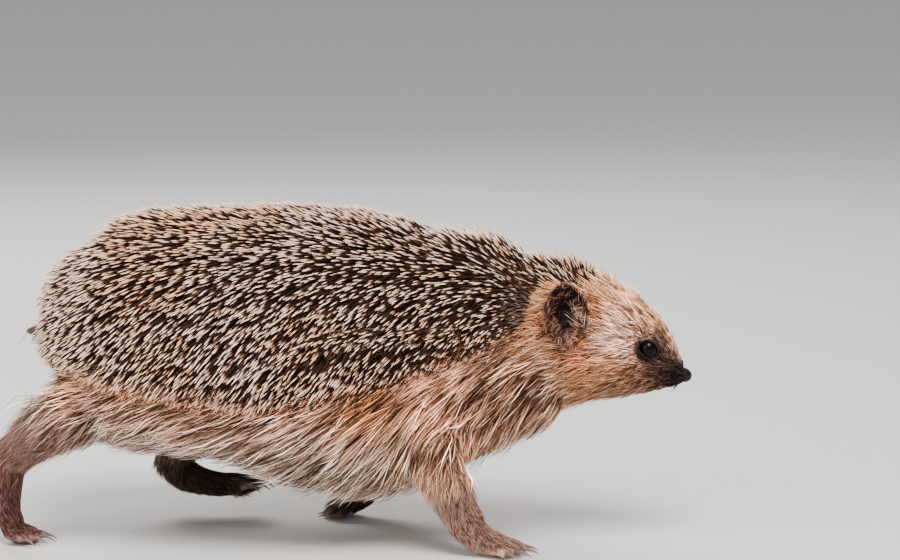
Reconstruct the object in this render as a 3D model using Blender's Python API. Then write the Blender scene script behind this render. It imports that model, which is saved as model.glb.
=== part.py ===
"""A life-size European hedgehog in mid-stride, as a still museum model.

The solids give the animal's outline out to the tips of its spines and fur. It faces +X, with its right
side at -Y, and stands on the floor at z = 0. Both right feet and the left forefoot carry it, and the left
hind foot is in the air. Sizes are in metres. The body is first set out round its own middle, and in the
end everything is moved so that the origin is under the centre of the whole animal.
"""

import math

import bmesh
import bpy
from mathutils import Matrix, Vector

GAP = 0.0003  # clearance between touching solids
END_REACH = 0.6  # where a tube's rounded end has its last ring, as a share of the radius
END_WIDTH = 0.75  # and how wide that ring is
FUSE_VOXEL = 0.0006  # grid on which a foot or a leg is made one solid
FLOOR = 0.0
SIDEWAYS = Vector((0.0, 1.0, 0.0))

# Body: rump to neck. Each row is a cross-section: x, top, bottom, half width.
BODY_ROWS = (
    (-0.0955, 0.081, 0.081, 0.0),
    (-0.0945, 0.090, 0.069, 0.016),
    (-0.0918, 0.0970, 0.056, 0.028),
    (-0.0855, 0.1048, 0.0450, 0.039),
    (-0.0740, 0.1138, 0.0375, 0.0475),
    (-0.0560, 0.1230, 0.0325, 0.0545),
    (-0.0280, 0.1248, 0.0295, 0.0575),
    (0.0050, 0.1246, 0.0205, 0.0570),
    (0.0230, 0.1230, 0.0165, 0.0545),
    (0.0390, 0.1203, 0.0190, 0.0500),
    (0.0620, 0.1137, 0.0290, 0.0425),
    (0.0820, 0.1065, 0.0380, 0.0345),
    (0.0980, 0.0960, 0.0470, 0.0240),
    (0.1050, 0.0760, 0.0760, 0.0),
)
BODY_SIDES = 32
BODY_WIDEST = 0.42  # height of the widest line, as a share of the section's height
BODY_UPPER_POWER = 2.1  # 2 is an ellipse, more is squarer
BODY_LOWER_POWER = 2.5

# Head: its axis runs from the middle between the ears to the nose, and points down by HEAD_PITCH.
# Each row is a cross-section: distance along the axis, top, bottom, half width, all from the axis.
HEAD_CENTRE = Vector((0.0932, 0.0, 0.0815))
HEAD_PITCH = math.radians(22.6)
HEAD_ROWS = (
    (-0.0200, 0.000, 0.000, 0.0),
    (-0.0160, 0.0165, -0.0200, 0.0200),
    (-0.0040, 0.0222, -0.0320, 0.0270),
    (0.0070, 0.0232, -0.0330, 0.0275),
    (0.0160, 0.0218, -0.0285, 0.0250),
    (0.0250, 0.0202, -0.0222, 0.0212),
    (0.0335, 0.0174, -0.0168, 0.0168),
    (0.0405, 0.0138, -0.0122, 0.0128),
    (0.0470, 0.0094, -0.0086, 0.0092),
    (0.0515, 0.0056, -0.0060, 0.0066),
    (0.0540, 0.0030, -0.0038, 0.0044),
    (0.0550, 0.000, 0.000, 0.0),
)
HEAD_SIDES = 28
HEAD_WIDEST = 0.45
HEAD_POWER = 2.0

# Where the neck is parted from the head and the trunk: a point on the plane and how far it leans back.
HEAD_CUT = (Vector((0.0840, 0.0, 0.0880)), math.radians(22))
NECK_CUT = (Vector((0.0640, 0.0, 0.0800)), math.radians(10))

# Face, in the head's own frame: along the axis, outwards to the left, up from the axis.
EYE_PLACE = Vector((0.0365, 0.0113, 0.0061))
EYE_RADIUS = 0.0034
NOSE_PLACE = Vector((0.0522, 0.0, 0.0002))
NOSE_RADII = Vector((0.0038, 0.0040, 0.0036))
EAR_PLACE = Vector((0.0046, 0.0262, 0.0078))
EAR_HALF_WIDTH = 0.0088
EAR_HALF_HEIGHT = 0.0112
EAR_NARROWING = 0.36  # how much narrower its lowest part is than its middle
EAR_CUP_DEPTH = 0.0052
EAR_WALL = 0.0016
EAR_TURN_OUT = math.radians(58)  # from straight ahead towards the side
EAR_LEAN_BACK = math.radians(8)
EAR_FACES_UP = 0.18  # rise of the direction it faces, over its run
EAR_LEANS_OUT = 0.10  # the top's outward lean, over its height

# Tail: a short cone that hangs out under the spines.
TAIL_POINTS = (
    Vector((-0.0840, 0.0, 0.0800)),
    Vector((-0.0940, 0.0, 0.0762)),
    Vector((-0.1032, 0.0, 0.0754)),
)
TAIL_RADII = (0.0060, 0.0038, 0.0018)
TAIL_SIDES = 8

# Legs: the joints from the hip or shoulder down to the ankle or wrist, with the radius at each.
LEGS = {
    "foreleg_right": {
        "joints": (
            (0.057, -0.022, 0.060),
            (0.0525, -0.0320, 0.0400),
            (0.0577, -0.0340, 0.0240),
            (0.0645, -0.0345, 0.0108),
        ),
        "radii": (0.0170, 0.0130, 0.0087, 0.0066),
    },
    "foreleg_left": {
        "joints": (
            (0.054, 0.022, 0.060),
            (0.0400, 0.0320, 0.0420),
            (0.0310, 0.0330, 0.0260),
            (0.0235, 0.0325, 0.0140),
        ),
        "radii": (0.0170, 0.0125, 0.0082, 0.0060),
    },
    "hindleg_right": {
        "joints": (
            (-0.064, -0.020, 0.064),
            (-0.0780, -0.0300, 0.0520),
            (-0.0920, -0.0290, 0.0425),
            (-0.1035, -0.0270, 0.0335),
        ),
        "radii": (0.0240, 0.0170, 0.0108, 0.0068),
    },
    "hindleg_left": {
        "joints": (
            (-0.056, 0.020, 0.064),
            (-0.0425, 0.0310, 0.0460),
            (-0.0480, 0.0315, 0.0330),
            (-0.0535, 0.0310, 0.0220),
        ),
        "radii": (0.0240, 0.0165, 0.0110, 0.0066),
    },
}
LEG_SIDES = 16
LEG_FACES = 480
FOOT_FACES = 360

# Feet: the sole from heel to the root of the toes, then the toes, fanned out and pointing forwards.
FEET = {
    "forefoot_right": {
        "leg": "foreleg_right",
        "sole": ((0.0645, -0.0345, 0.0108), (0.0690, -0.0346, 0.0060), (0.0750, -0.0348, 0.0038)),
        "radii": (0.0064, 0.0067, 0.0068),
        "toe_length": 0.0096,
        "toe_drop": 0.0012,
        "fan": math.radians(62),
        "heading": math.radians(-6),
        "claw_length": 0.0060,
    },
    "forefoot_left": {
        "leg": "foreleg_left",
        "sole": ((0.0235, 0.0325, 0.0140), (0.0200, 0.0324, 0.0092), (0.0155, 0.0322, 0.0058)),
        "radii": (0.0058, 0.0060, 0.0060),
        "toe_length": 0.0084,
        "toe_drop": 0.0043,
        "fan": math.radians(48),
        "heading": math.radians(176),
        "claw_length": 0.0048,
    },
    "hindfoot_right": {
        "leg": "hindleg_right",
        "sole": (
            (-0.1035, -0.0270, 0.0335),
            (-0.1065, -0.0263, 0.0240),
            (-0.1062, -0.0258, 0.0110),
            (-0.1035, -0.0255, 0.0042),
        ),
        "radii": (0.0066, 0.0064, 0.0060, 0.0060),
        "toe_length": 0.0092,
        "toe_drop": 0.0014,
        "fan": math.radians(46),
        "heading": math.radians(-8),
        "claw_length": 0.0058,
    },
    "hindfoot_left": {
        "leg": "hindleg_left",
        "sole": (
            (-0.0535, 0.0310, 0.0220),
            (-0.0485, 0.0306, 0.0155),
            (-0.0380, 0.0302, 0.0125),
            (-0.0300, 0.0300, 0.0128),
        ),
        "radii": (0.0064, 0.0064, 0.0062, 0.0060),
        "toe_length": 0.0092,
        "toe_drop": -0.0008,
        "fan": math.radians(46),
        "heading": math.radians(4),
        "claw_length": 0.0058,
    },
}
FOOT_SIDES = 12
FOOT_FLATNESS = (0.95, 0.62)  # height over width of the ankle and of the sole
TOE_COUNT = 5
TOE_RADIUS = 0.00205
TOE_SIDES = 8
OUTER_TOE_SHORTER = 0.72  # length of the first and fifth toe, as a share of the middle one
OUTER_TOE_BEHIND = 0.0012  # how far behind the middle one's the outer toes' roots are
TOE_BELOW_SOLE = 0.0006
TOE_ROW_WIDTH = 0.78  # half width of the row of toe roots, as a share of the sole's radius
CLAW_RADIUS = 0.00090
CLAW_SIDES = 5
CLAW_ROOT = 0.0015  # how far the claw starts inside the toe
CLAW_HOOK = math.radians(24)  # how far it curves down over its length

COLOURS = {
    "spines": ((0.30, 0.22, 0.17), 0.60),
    "fur": ((0.42, 0.27, 0.17), 0.85),
    "leg_fur": ((0.28, 0.19, 0.15), 0.85),
    "bare_skin": ((0.42, 0.28, 0.25), 0.60),
    "dark_skin": ((0.05, 0.035, 0.03), 0.55),
    "nose": ((0.015, 0.012, 0.012), 0.30),
    "eye": ((0.006, 0.005, 0.005), 0.05),
    "claw": ((0.25, 0.18, 0.14), 0.40),
}


def clear_scene():
    for obj in list(bpy.data.objects):
        bpy.data.objects.remove(obj)


def material(name):
    """The Principled material of that name in COLOURS, made once."""
    found = bpy.data.materials.get(name)
    if found:
        return found
    colour, roughness = COLOURS[name]
    made = bpy.data.materials.new(name)
    made.use_nodes = True
    shader = made.node_tree.nodes["Principled BSDF"]
    shader.inputs["Base Color"].default_value = (*colour, 1.0)
    shader.inputs["Roughness"].default_value = roughness
    return made


def object_from(bm, name):
    """A smooth-shaded mesh object from a bmesh, with its faces pointing out."""
    bmesh.ops.recalc_face_normals(bm, faces=bm.faces)
    mesh = bpy.data.meshes.new(name)
    bm.to_mesh(mesh)
    bm.free()
    mesh.shade_smooth()
    obj = bpy.data.objects.new(name, mesh)
    bpy.context.scene.collection.objects.link(obj)
    return obj


def smooth_rows(rows, steps):
    """The rows with steps-1 more between each two, on a Catmull-Rom curve through them."""
    rows = [Vector(row) for row in rows]
    out = []
    for i in range(len(rows) - 1):
        before = rows[max(i - 1, 0)]
        start = rows[i]
        end = rows[i + 1]
        after = rows[min(i + 2, len(rows) - 1)]
        for step in range(steps):
            t = step / steps
            lead = (end - before) * 0.5
            trail = (after - start) * 0.5
            out.append(
                start * (2 * t**3 - 3 * t**2 + 1)
                + lead * (t**3 - 2 * t**2 + t)
                + end * (3 * t**2 - 2 * t**3)
                + trail * (t**3 - t**2)
            )
    out.append(rows[-1])
    return out


def closed_tube(rings, poles, name):
    """A closed mesh through rings of points, with a pole beyond each end."""
    bm = bmesh.new()
    loops = [[bm.verts.new(point) for point in ring] for ring in rings]
    count = len(loops[0])
    for first, second in zip(loops, loops[1:]):
        for i in range(count):
            j = (i + 1) % count
            bm.faces.new((first[i], first[j], second[j], second[i]))
    for pole, loop in zip(poles, (loops[0], loops[-1])):
        tip = bm.verts.new(pole)
        for i in range(count):
            bm.faces.new((tip, loop[i], loop[(i + 1) % count]))
    return object_from(bm, name)


def signed_power(value, power):
    return math.copysign(abs(value) ** power, value)


def section(row, sides, widest, upper_power, lower_power, grow):
    """The outline of one cross-section row in the loft's own frame: (x, y, z) points."""
    x, top, bottom, half_width = row
    middle = bottom + widest * (top - bottom)
    points = []
    for i in range(sides):
        turn = 2 * math.pi * i / sides
        power = 2 / (upper_power if math.sin(turn) > 0 else lower_power)
        height = (top + grow - middle) if math.sin(turn) > 0 else (middle - bottom + grow)
        y = (half_width + grow) * signed_power(math.cos(turn), power)
        z = middle + height * signed_power(math.sin(turn), power)
        points.append(Vector((x, y, z)))
    return points


def loft(name, rows, place, sides, steps, widest, powers, grow):
    """A closed loft through cross-section rows whose first and last rows are its poles."""
    rows = smooth_rows(rows, steps)
    rings = [section(row, sides, widest, *powers, grow) for row in rows[1:-1]]
    poles = []
    for row, outwards in ((rows[0], -1), (rows[-1], 1)):
        poles.append(Vector((row[0] + outwards * grow, 0.0, row[1])))
    rings = [[place @ point for point in ring] for ring in rings]
    return closed_tube(rings, [place @ pole for pole in poles], name)


def head_frame():
    """From the head's own frame, whose X runs to the nose, to the body's."""
    return Matrix.Translation(HEAD_CENTRE) @ Matrix.Rotation(HEAD_PITCH, 4, "Y")


def body_loft(name, grow=0.0):
    powers = (BODY_UPPER_POWER, BODY_LOWER_POWER)
    return loft(name, BODY_ROWS, Matrix(), BODY_SIDES, 2, BODY_WIDEST, powers, grow)


def head_loft(name, grow=0.0):
    powers = (HEAD_POWER, HEAD_POWER)
    return loft(name, HEAD_ROWS, head_frame(), HEAD_SIDES, 2, HEAD_WIDEST, powers, grow)


def limb(name, points, radii, sides, steps=3, flatness=(1.0, 1.0), across=SIDEWAYS, grow=0.0):
    """A round-ended tapering tube through points. Flatness is its height over width, at each end."""
    rows = [(*point, radius + grow) for point, radius in zip(points, radii)]
    rows = smooth_rows(rows, steps)
    centres = [Vector(row[:3]) for row in rows]
    sizes = [row[3] for row in rows]
    last = len(centres) - 1
    ahead = [(centres[min(i + 1, last)] - centres[max(i - 1, 0)]).normalized() for i in range(last + 1)]
    first = centres[0] - ahead[0] * sizes[0] * END_REACH
    stations = [(first, ahead[0], sizes[0] * END_WIDTH, flatness[0])]
    for i, centre in enumerate(centres):
        flat = flatness[0] + (flatness[1] - flatness[0]) * i / last
        stations.append((centre, ahead[i], sizes[i], flat))
    end = centres[-1] + ahead[-1] * sizes[-1] * END_REACH
    stations.append((end, ahead[-1], sizes[-1] * END_WIDTH, flatness[1]))
    rings = []
    for centre, direction, size, flat in stations:
        side = (across - direction * across.dot(direction)).normalized()
        up = direction.cross(side)
        turns = [2 * math.pi * i / sides for i in range(sides)]
        wide = [side * size * math.cos(turn) for turn in turns]
        tall = [up * size * flat * math.sin(turn) for turn in turns]
        rings.append([centre + sideways + height for sideways, height in zip(wide, tall)])
    poles = (centres[0] - ahead[0] * sizes[0], centres[-1] + ahead[-1] * sizes[-1])
    return closed_tube(rings, poles, name)


def ball(name, centre, radii, turned, segments=14, rings=8, grow=0.0):
    bm = bmesh.new()
    bmesh.ops.create_uvsphere(bm, u_segments=segments, v_segments=rings, radius=1.0)
    sizes = Matrix.Diagonal((radii[0] + grow, radii[1] + grow, radii[2] + grow, 1.0))
    bmesh.ops.transform(bm, matrix=Matrix.Translation(centre) @ turned @ sizes, verts=bm.verts)
    return object_from(bm, name)


def combine(base, others, operation):
    """Applies a Boolean of base with each of the others, which are then removed."""
    for other in others:
        modifier = base.modifiers.new("combine", "BOOLEAN")
        modifier.operation = operation
        modifier.solver = "EXACT"
        modifier.object = other
        graph = bpy.context.evaluated_depsgraph_get()
        result = bpy.data.meshes.new_from_object(base.evaluated_get(graph))
        base.modifiers.clear()
        base.data = result
        bpy.data.objects.remove(other)
    base.data.shade_smooth()
    return base


def fuse(name, pieces, faces):
    """One smooth closed solid over overlapping pieces, with about that many faces."""
    bm = bmesh.new()
    for piece in pieces:
        bm.from_mesh(piece.data)
        bpy.data.objects.remove(piece)
    fused = object_from(bm, name)
    remesh = fused.modifiers.new("remesh", "REMESH")
    remesh.mode = "VOXEL"
    remesh.voxel_size = FUSE_VOXEL
    soften = fused.modifiers.new("soften", "SMOOTH")
    soften.factor = 0.5
    soften.iterations = 4
    graph = bpy.context.evaluated_depsgraph_get()
    dense = bpy.data.meshes.new_from_object(fused.evaluated_get(graph))
    fused.modifiers.clear()
    fused.data = dense
    thin = fused.modifiers.new("thin", "DECIMATE")
    thin.ratio = faces / (2 * len(dense.polygons))
    graph = bpy.context.evaluated_depsgraph_get()
    fused_mesh = bpy.data.meshes.new_from_object(fused.evaluated_get(graph))
    fused.modifiers.clear()
    fused.data = fused_mesh
    return fused


def copy_of(obj, name):
    twin = bpy.data.objects.new(name, obj.data.copy())
    bpy.context.scene.collection.objects.link(twin)
    return twin


def keep_side(obj, point, normal):
    """Cuts obj with a plane, keeps the side that normal points away from, and closes the cut."""
    bm = bmesh.new()
    bm.from_mesh(obj.data)
    geometry = bm.verts[:] + bm.edges[:] + bm.faces[:]
    bmesh.ops.bisect_plane(bm, geom=geometry, plane_co=point, plane_no=normal, clear_outer=True)
    rim = [edge for edge in bm.edges if edge.is_boundary]
    bmesh.ops.triangle_fill(bm, edges=rim, use_beauty=True)
    bmesh.ops.recalc_face_normals(bm, faces=bm.faces)
    bm.to_mesh(obj.data)
    bm.free()
    obj.data.shade_smooth()
    return obj


def piece_area(vertices):
    """The area of the faces round these vertices, each face counted once for each of its corners."""
    return sum(face.calc_area() for vertex in vertices for face in vertex.link_faces)


def keep_largest(obj):
    """Removes every loose piece of obj but the one with the most surface."""
    bm = bmesh.new()
    bm.from_mesh(obj.data)
    unseen = set(bm.verts)
    pieces = []
    while unseen:
        edge_of_search = [unseen.pop()]
        piece = set(edge_of_search)
        while edge_of_search:
            vertex = edge_of_search.pop()
            for edge in vertex.link_edges:
                other = edge.other_vert(vertex)
                if other in unseen:
                    unseen.remove(other)
                    piece.add(other)
                    edge_of_search.append(other)
        pieces.append(piece)
    pieces.sort(key=piece_area, reverse=True)
    loose = [vertex for piece in pieces[1:] for vertex in piece]
    bmesh.ops.delete(bm, geom=loose, context="VERTS")
    bm.to_mesh(obj.data)
    bm.free()
    obj.data.shade_smooth()
    return obj


def part_at(obj, point, normal, behind_name, ahead_name):
    """Parts obj in two with a cut GAP wide, and returns the piece behind the plane and the one ahead."""
    behind = copy_of(obj, behind_name)
    ahead = copy_of(obj, ahead_name)
    bpy.data.objects.remove(obj)
    keep_side(behind, point - normal * (GAP / 2), normal)
    keep_side(ahead, point + normal * (GAP / 2), -normal)
    return behind, ahead


def leaning_normal(lean):
    """A forward normal that points down by lean."""
    return Vector((math.cos(lean), 0.0, -math.sin(lean)))


def finish(obj, material_name):
    obj.data.materials.clear()
    obj.data.materials.append(material(material_name))
    return obj


def flesh_envelope(name, grow=0.0):
    """Body and head as one closed solid."""
    return combine(body_loft(name, grow), [head_loft("head_loft", grow)], "UNION")


def eye_place(side):
    along, outwards, up = EYE_PLACE
    return head_frame() @ Vector((along, side * outwards, up))


def make_trunk_neck_head():
    whole = flesh_envelope("whole")
    point, lean = NECK_CUT
    trunk, rest = part_at(whole, point, leaning_normal(lean), "trunk", "rest")
    point, lean = HEAD_CUT
    neck, head = part_at(rest, point, leaning_normal(lean), "neck", "head")
    turned = Matrix.Rotation(HEAD_PITCH, 4, "Y")
    sockets = [ball("socket", eye_place(side), [EYE_RADIUS] * 3, turned, grow=GAP) for side in (-1, 1)]
    sockets.append(ball("nose_seat", head_frame() @ NOSE_PLACE, NOSE_RADII, turned, grow=GAP))
    combine(head, sockets, "DIFFERENCE")
    finish(trunk, "spines")
    finish(neck, "fur")
    finish(head, "fur")


def make_eyes_and_nose():
    turned = Matrix.Rotation(HEAD_PITCH, 4, "Y")
    for name, side in (("eye_right", -1), ("eye_left", 1)):
        finish(ball(name, eye_place(side), [EYE_RADIUS] * 3, turned), "eye")
    finish(ball("nose", head_frame() @ NOSE_PLACE, NOSE_RADII, turned), "nose")


def ear_cup(name, side):
    """An oval cup, open outwards and forwards, whose lower front rim sits in the head."""
    spokes = 20
    hoops = 5
    along, outwards, up = EAR_PLACE
    centre = head_frame() @ Vector((along, side * outwards, up))
    facing = Vector((math.cos(EAR_TURN_OUT), side * math.sin(EAR_TURN_OUT), EAR_FACES_UP)).normalized()
    upwards = Vector((-math.sin(EAR_LEAN_BACK), side * EAR_LEANS_OUT, math.cos(EAR_LEAN_BACK)))
    across = upwards.cross(facing).normalized()
    upwards = facing.cross(across).normalized()
    bm = bmesh.new()
    middle = bm.verts.new(centre - facing * EAR_CUP_DEPTH)
    inner = []
    for hoop in range(1, hoops + 1):
        share = hoop / hoops
        ring = []
        for spoke in range(spokes):
            turn = 2 * math.pi * spoke / spokes
            narrowing = 1.0 - EAR_NARROWING * max(0.0, -math.sin(turn))
            sideways = across * (EAR_HALF_WIDTH * share * math.cos(turn) * narrowing)
            height = upwards * (EAR_HALF_HEIGHT * share * math.sin(turn))
            depth = facing * (EAR_CUP_DEPTH * (share**2 - 1.0))
            ring.append(bm.verts.new(centre + sideways + height + depth))
        inner.append(ring)
    for i in range(spokes):
        bm.faces.new((middle, inner[0][i], inner[0][(i + 1) % spokes]))
    for first, second in zip(inner, inner[1:]):
        for i in range(spokes):
            j = (i + 1) % spokes
            bm.faces.new((first[i], first[j], second[j], second[i]))
    ear = object_from(bm, name)
    wall = ear.modifiers.new("wall", "SOLIDIFY")
    wall.thickness = EAR_WALL
    wall.offset = 0.0
    graph = bpy.context.evaluated_depsgraph_get()
    solid = bpy.data.meshes.new_from_object(ear.evaluated_get(graph))
    ear.modifiers.clear()
    ear.data = solid
    return ear


def make_ears(envelope):
    for name, side in (("ear_right", -1), ("ear_left", 1)):
        ear = ear_cup(name, side)
        combine(ear, [copy_of(envelope, "cutter")], "DIFFERENCE")
        keep_largest(ear)
        finish(ear, "dark_skin")


def make_tail(envelope):
    tail = limb("tail", TAIL_POINTS, TAIL_RADII, TAIL_SIDES, 2)
    combine(tail, [copy_of(envelope, "cutter")], "DIFFERENCE")
    finish(tail, "bare_skin")


def claw_line(tip, direction, drop, length):
    """Points along a claw that curves down over its length, from inside the toe."""
    level = Vector((direction.x, direction.y, 0.0)).normalized()
    points = [tip - level * CLAW_ROOT]
    steps = 3
    slope = drop
    for _ in range(steps):
        slope += CLAW_HOOK / steps
        stride = (length + CLAW_ROOT) / steps
        points.append(points[-1] + (level * math.cos(slope) + Vector((0, 0, -math.sin(slope)))) * stride)
    return points


def make_foot(name, facts, ankle_plane):
    """The foot below the ankle, parted from the leg, with flat soles at the floor and five claws."""
    sole = [Vector(point) for point in facts["sole"]]
    root = sole[-1]
    width = facts["radii"][-1] * TOE_ROW_WIDTH
    ahead = Vector((math.cos(facts["heading"]), math.sin(facts["heading"]), 0.0))
    across = Vector((-ahead.y, ahead.x, 0.0))
    sole_tube = limb("sole", sole, facts["radii"], FOOT_SIDES, 2, FOOT_FLATNESS, across)
    claws = []
    toes = []
    for number in range(TOE_COUNT):
        spread = 2 * number / (TOE_COUNT - 1) - 1.0
        angle = facts["heading"] + spread * facts["fan"] / 2
        direction = Vector((math.cos(angle), math.sin(angle), 0.0))
        length = facts["toe_length"] * (1.0 - (1.0 - OUTER_TOE_SHORTER) * spread**2)
        start = root + across * (spread * width) - ahead * (OUTER_TOE_BEHIND * spread**2)
        start.z = root.z - TOE_BELOW_SOLE
        knuckle = start + direction * length * 0.62 + Vector((0, 0, 0.0002))
        tip = start + direction * length + Vector((0, 0, -facts["toe_drop"]))
        radii = (TOE_RADIUS * 1.1, TOE_RADIUS * 1.05, TOE_RADIUS * 0.85)
        toes.append(limb("toe", (start, knuckle, tip), radii, TOE_SIDES, 1))
        claws.append(claw_line(tip + direction * TOE_RADIUS * 0.5, direction, 0.0, facts["claw_length"]))
    foot = fuse(name, [sole_tube, *toes], FOOT_FACES)
    ankle, normal = ankle_plane
    keep_side(foot, ankle + normal * (GAP / 2), -normal)
    keep_side(foot, Vector((0, 0, FLOOR)), Vector((0, 0, -1)))
    sockets = []
    for number, line in enumerate(claws):
        low = min(point.z for point in line)
        lift = Vector((0, 0, max(0.0, FLOOR + CLAW_RADIUS * 0.5 + GAP - low)))
        line = [point + lift * (i / (len(line) - 1)) for i, point in enumerate(line)]
        radii = [CLAW_RADIUS * share for share in (1.0, 0.95, 0.68, 0.22)]
        claw = limb(f"{name}_claw_{number + 1}", line, radii, CLAW_SIDES, 1)
        finish(claw, "claw")
        sockets.append(limb("socket", line, radii, CLAW_SIDES, 1, grow=GAP))
    combine(foot, sockets, "DIFFERENCE")
    keep_largest(foot)
    finish(foot, "bare_skin")


def make_legs_and_feet(envelope):
    for name, facts in FEET.items():
        leg_facts = LEGS[facts["leg"]]
        joints = [Vector(point) for point in leg_facts["joints"]]
        leg = fuse(facts["leg"], [limb("tube", joints, leg_facts["radii"], LEG_SIDES, 2)], LEG_FACES)
        foot_start = Vector(facts["sole"][1]) - Vector(facts["sole"][0])
        normal = ((joints[-1] - joints[-2]).normalized() + foot_start.normalized()).normalized()
        ankle = joints[-1]
        keep_side(leg, ankle - normal * (GAP / 2), normal)
        combine(leg, [copy_of(envelope, "cutter")], "DIFFERENCE")
        keep_largest(leg)
        finish(leg, "leg_fur")
        make_foot(name, facts, (ankle, normal))


def centre_on_floor():
    """Moves everything so that the origin is under the centre of the animal's box."""
    corners = [Vector(vertex.co) for obj in bpy.data.objects for vertex in obj.data.vertices]
    middle_x = (min(c.x for c in corners) + max(c.x for c in corners)) / 2
    middle_y = (min(c.y for c in corners) + max(c.y for c in corners)) / 2
    for obj in bpy.data.objects:
        obj.data.transform(Matrix.Translation((-middle_x, -middle_y, 0.0)))


def main():
    clear_scene()
    make_trunk_neck_head()
    make_eyes_and_nose()
    envelope = flesh_envelope("envelope", GAP)
    make_ears(envelope)
    make_tail(envelope)
    make_legs_and_feet(envelope)
    bpy.data.objects.remove(envelope)
    centre_on_floor()


main()
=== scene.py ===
"""A still, life-size hedgehog in mid-stride: skin, spines, fur, eyes, nose, claws and whiskers."""

import math

import bmesh
import bpy
import numpy as np
from mathutils import Matrix, Vector
from mathutils.bvhtree import BVHTree


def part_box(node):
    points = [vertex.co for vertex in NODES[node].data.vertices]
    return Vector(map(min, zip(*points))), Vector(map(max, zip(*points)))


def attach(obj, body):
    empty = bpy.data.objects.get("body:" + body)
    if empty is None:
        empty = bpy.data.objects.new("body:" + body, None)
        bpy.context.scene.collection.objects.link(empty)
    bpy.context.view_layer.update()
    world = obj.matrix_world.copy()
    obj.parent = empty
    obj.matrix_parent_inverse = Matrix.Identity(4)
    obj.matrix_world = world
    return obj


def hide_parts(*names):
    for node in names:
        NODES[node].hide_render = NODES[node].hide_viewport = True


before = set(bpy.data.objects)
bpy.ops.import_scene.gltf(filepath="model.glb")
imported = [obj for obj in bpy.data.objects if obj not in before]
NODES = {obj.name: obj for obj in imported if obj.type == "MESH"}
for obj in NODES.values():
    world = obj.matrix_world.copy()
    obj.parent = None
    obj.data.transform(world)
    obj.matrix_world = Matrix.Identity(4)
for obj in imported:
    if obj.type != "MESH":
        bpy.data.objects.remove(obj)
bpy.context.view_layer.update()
MM = 0.001

SIDES = (("right", -1.0), ("left", 1.0))
FEET = [f"{pair}foot_{side}" for pair in ("fore", "hind") for side, _ in SIDES]
LEGS = [f"{pair}leg_{side}" for pair in ("fore", "hind") for side, _ in SIDES]
FLESH = ["trunk", "neck", "head", "tail", *LEGS, *FEET]
CLAWS = [name for name in NODES if "claw" in name]

# Places on the body are measured from a point on its middle plane, 95.5 mm ahead of the rump.
RUMP_TO_MIDDLE = 95.5 * MM
# Places on the head are measured along its axis, outwards and up, from a point between the ears.
HEAD_PITCH = math.radians(22.6)
EYE_ALONG, EYE_OUT, EYE_UP = 36.5, 11.3, 6.1
EYE_RADIUS = 3.4
EAR_ALONG, EAR_OUT, EAR_UP = 4.6, 26.2, 7.8
EAR_SIZES = (8.4, 10.8, 6.2)  # half its width, half its height, and how deep its cup is
EAR_TURN_OUT, EAR_LEAN_BACK = math.radians(58), math.radians(8)
EAR_WALL = 1.15 * MM

# The lower edge of the spines on the flank: distance from the middle, height. All in millimetres.
SPINE_EDGE = (
    (-95, 74), (-76, 73.5), (-52, 69), (-25, 65), (-2, 63.8), (14, 64.8), (34, 68),
    (48, 72.6), (62, 77), (75, 80.5), (92, 84),
)
SPINE_FRONT = 116.0  # how far forward the spines reach on the forehead
SPINE_FRONT_DROP = 23.0  # how much less they reach at ear width
EAR_WIDTH = 25.0
EAR_RING = (11.8, 11.6)  # half the length and height of the furred ring round each ear
SPINE_DEPTH = 8.6
SPINE_LENGTH = 21.0 * MM
SPINE_SPACING = 1.10 * MM
SPINE_RADIUS = 0.30 * MM
LONG_HAIR_RADIUS, SHORT_HAIR_RADIUS = 0.130 * MM, 0.115 * MM
LONG_FUR_FROM = (0.0085, 0.0105)  # the hair lengths between which short fur gives way to long fur
BODY_GRAIN, SKIN_GRAIN = 0.8 * MM, 0.6 * MM  # the voxels that the skin is drawn from
FLOOR_GAP = 0.0003  # how far over the floor the lowest hairs stay
PATCH = 0.003  # width of a strand's patch on the flat map

# Spines: place, way they lie, lift in degrees. Places are (ahead, outwards, up) from the middle, in mm.
SPINE_GUIDES = [
    ((-90, 0, 92), (-0.4, 0, -1), 14),
    ((-80, 0, 108), (-1, 0, -0.6), 15),
    ((-50, 0, 122), (-1, 0, -0.1), 17),
    ((0, 0, 124), (-1, 0, 0), 19),
    ((50, 0, 117), (-1, 0, 0.2), 18),
    ((78, 0, 107), (-1, 0, 0.3), 24),
    ((96, 0, 102), (-0.8, 0, 0.4), 37),
    ((110, 0, 100), (-0.7, 0, 0.5), 52),
    ((98, 18, 98), (-0.9, 0.1, 0.2), 27),
    ((88, 28, 92), (-1, 0.3, -0.3), 20),
    ((-90, 20, 92), (-0.9, 0.3, -0.6), 14),
    ((-90, 22, 74), (-1, 0.3, -0.3), 13),
]
# How far ahead, then (outwards, up, slant down the flank, lift) from the back to the edge.
SPINE_ROWS = (
    (-74, (24, 112, 0.50, 16), (40, 99, 0.45, 15), (47, 85, 0.45, 14), (48, 72, 0.35, 13)),
    (-45, (28, 116, 0.42, 17), (45, 103, 0.75, 16), (54, 89, 0.90, 15), (56, 75, 0.95, 14),
     (55, 62, 0.95, 13)),
    (-10, (28, 118, 0.42, 18), (46, 105, 0.90, 16), (56, 90, 1.00, 15), (57, 76, 1.10, 14),
     (55, 62, 1.20, 13)),
    (25, (26, 117, 0.42, 18), (44, 103, 0.95, 16), (53, 89, 1.10, 15), (54, 75, 1.10, 14),
     (53, 63, 1.05, 13)),
    (54, (22, 112, 0.42, 18), (36, 100, 0.95, 16), (43, 88, 1.10, 15), (44, 76, 1.00, 14)),
    (74, (22, 106, 0.50, 19), (32, 95, 0.90, 17), (35, 84, 1.00, 15)),
)
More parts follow.
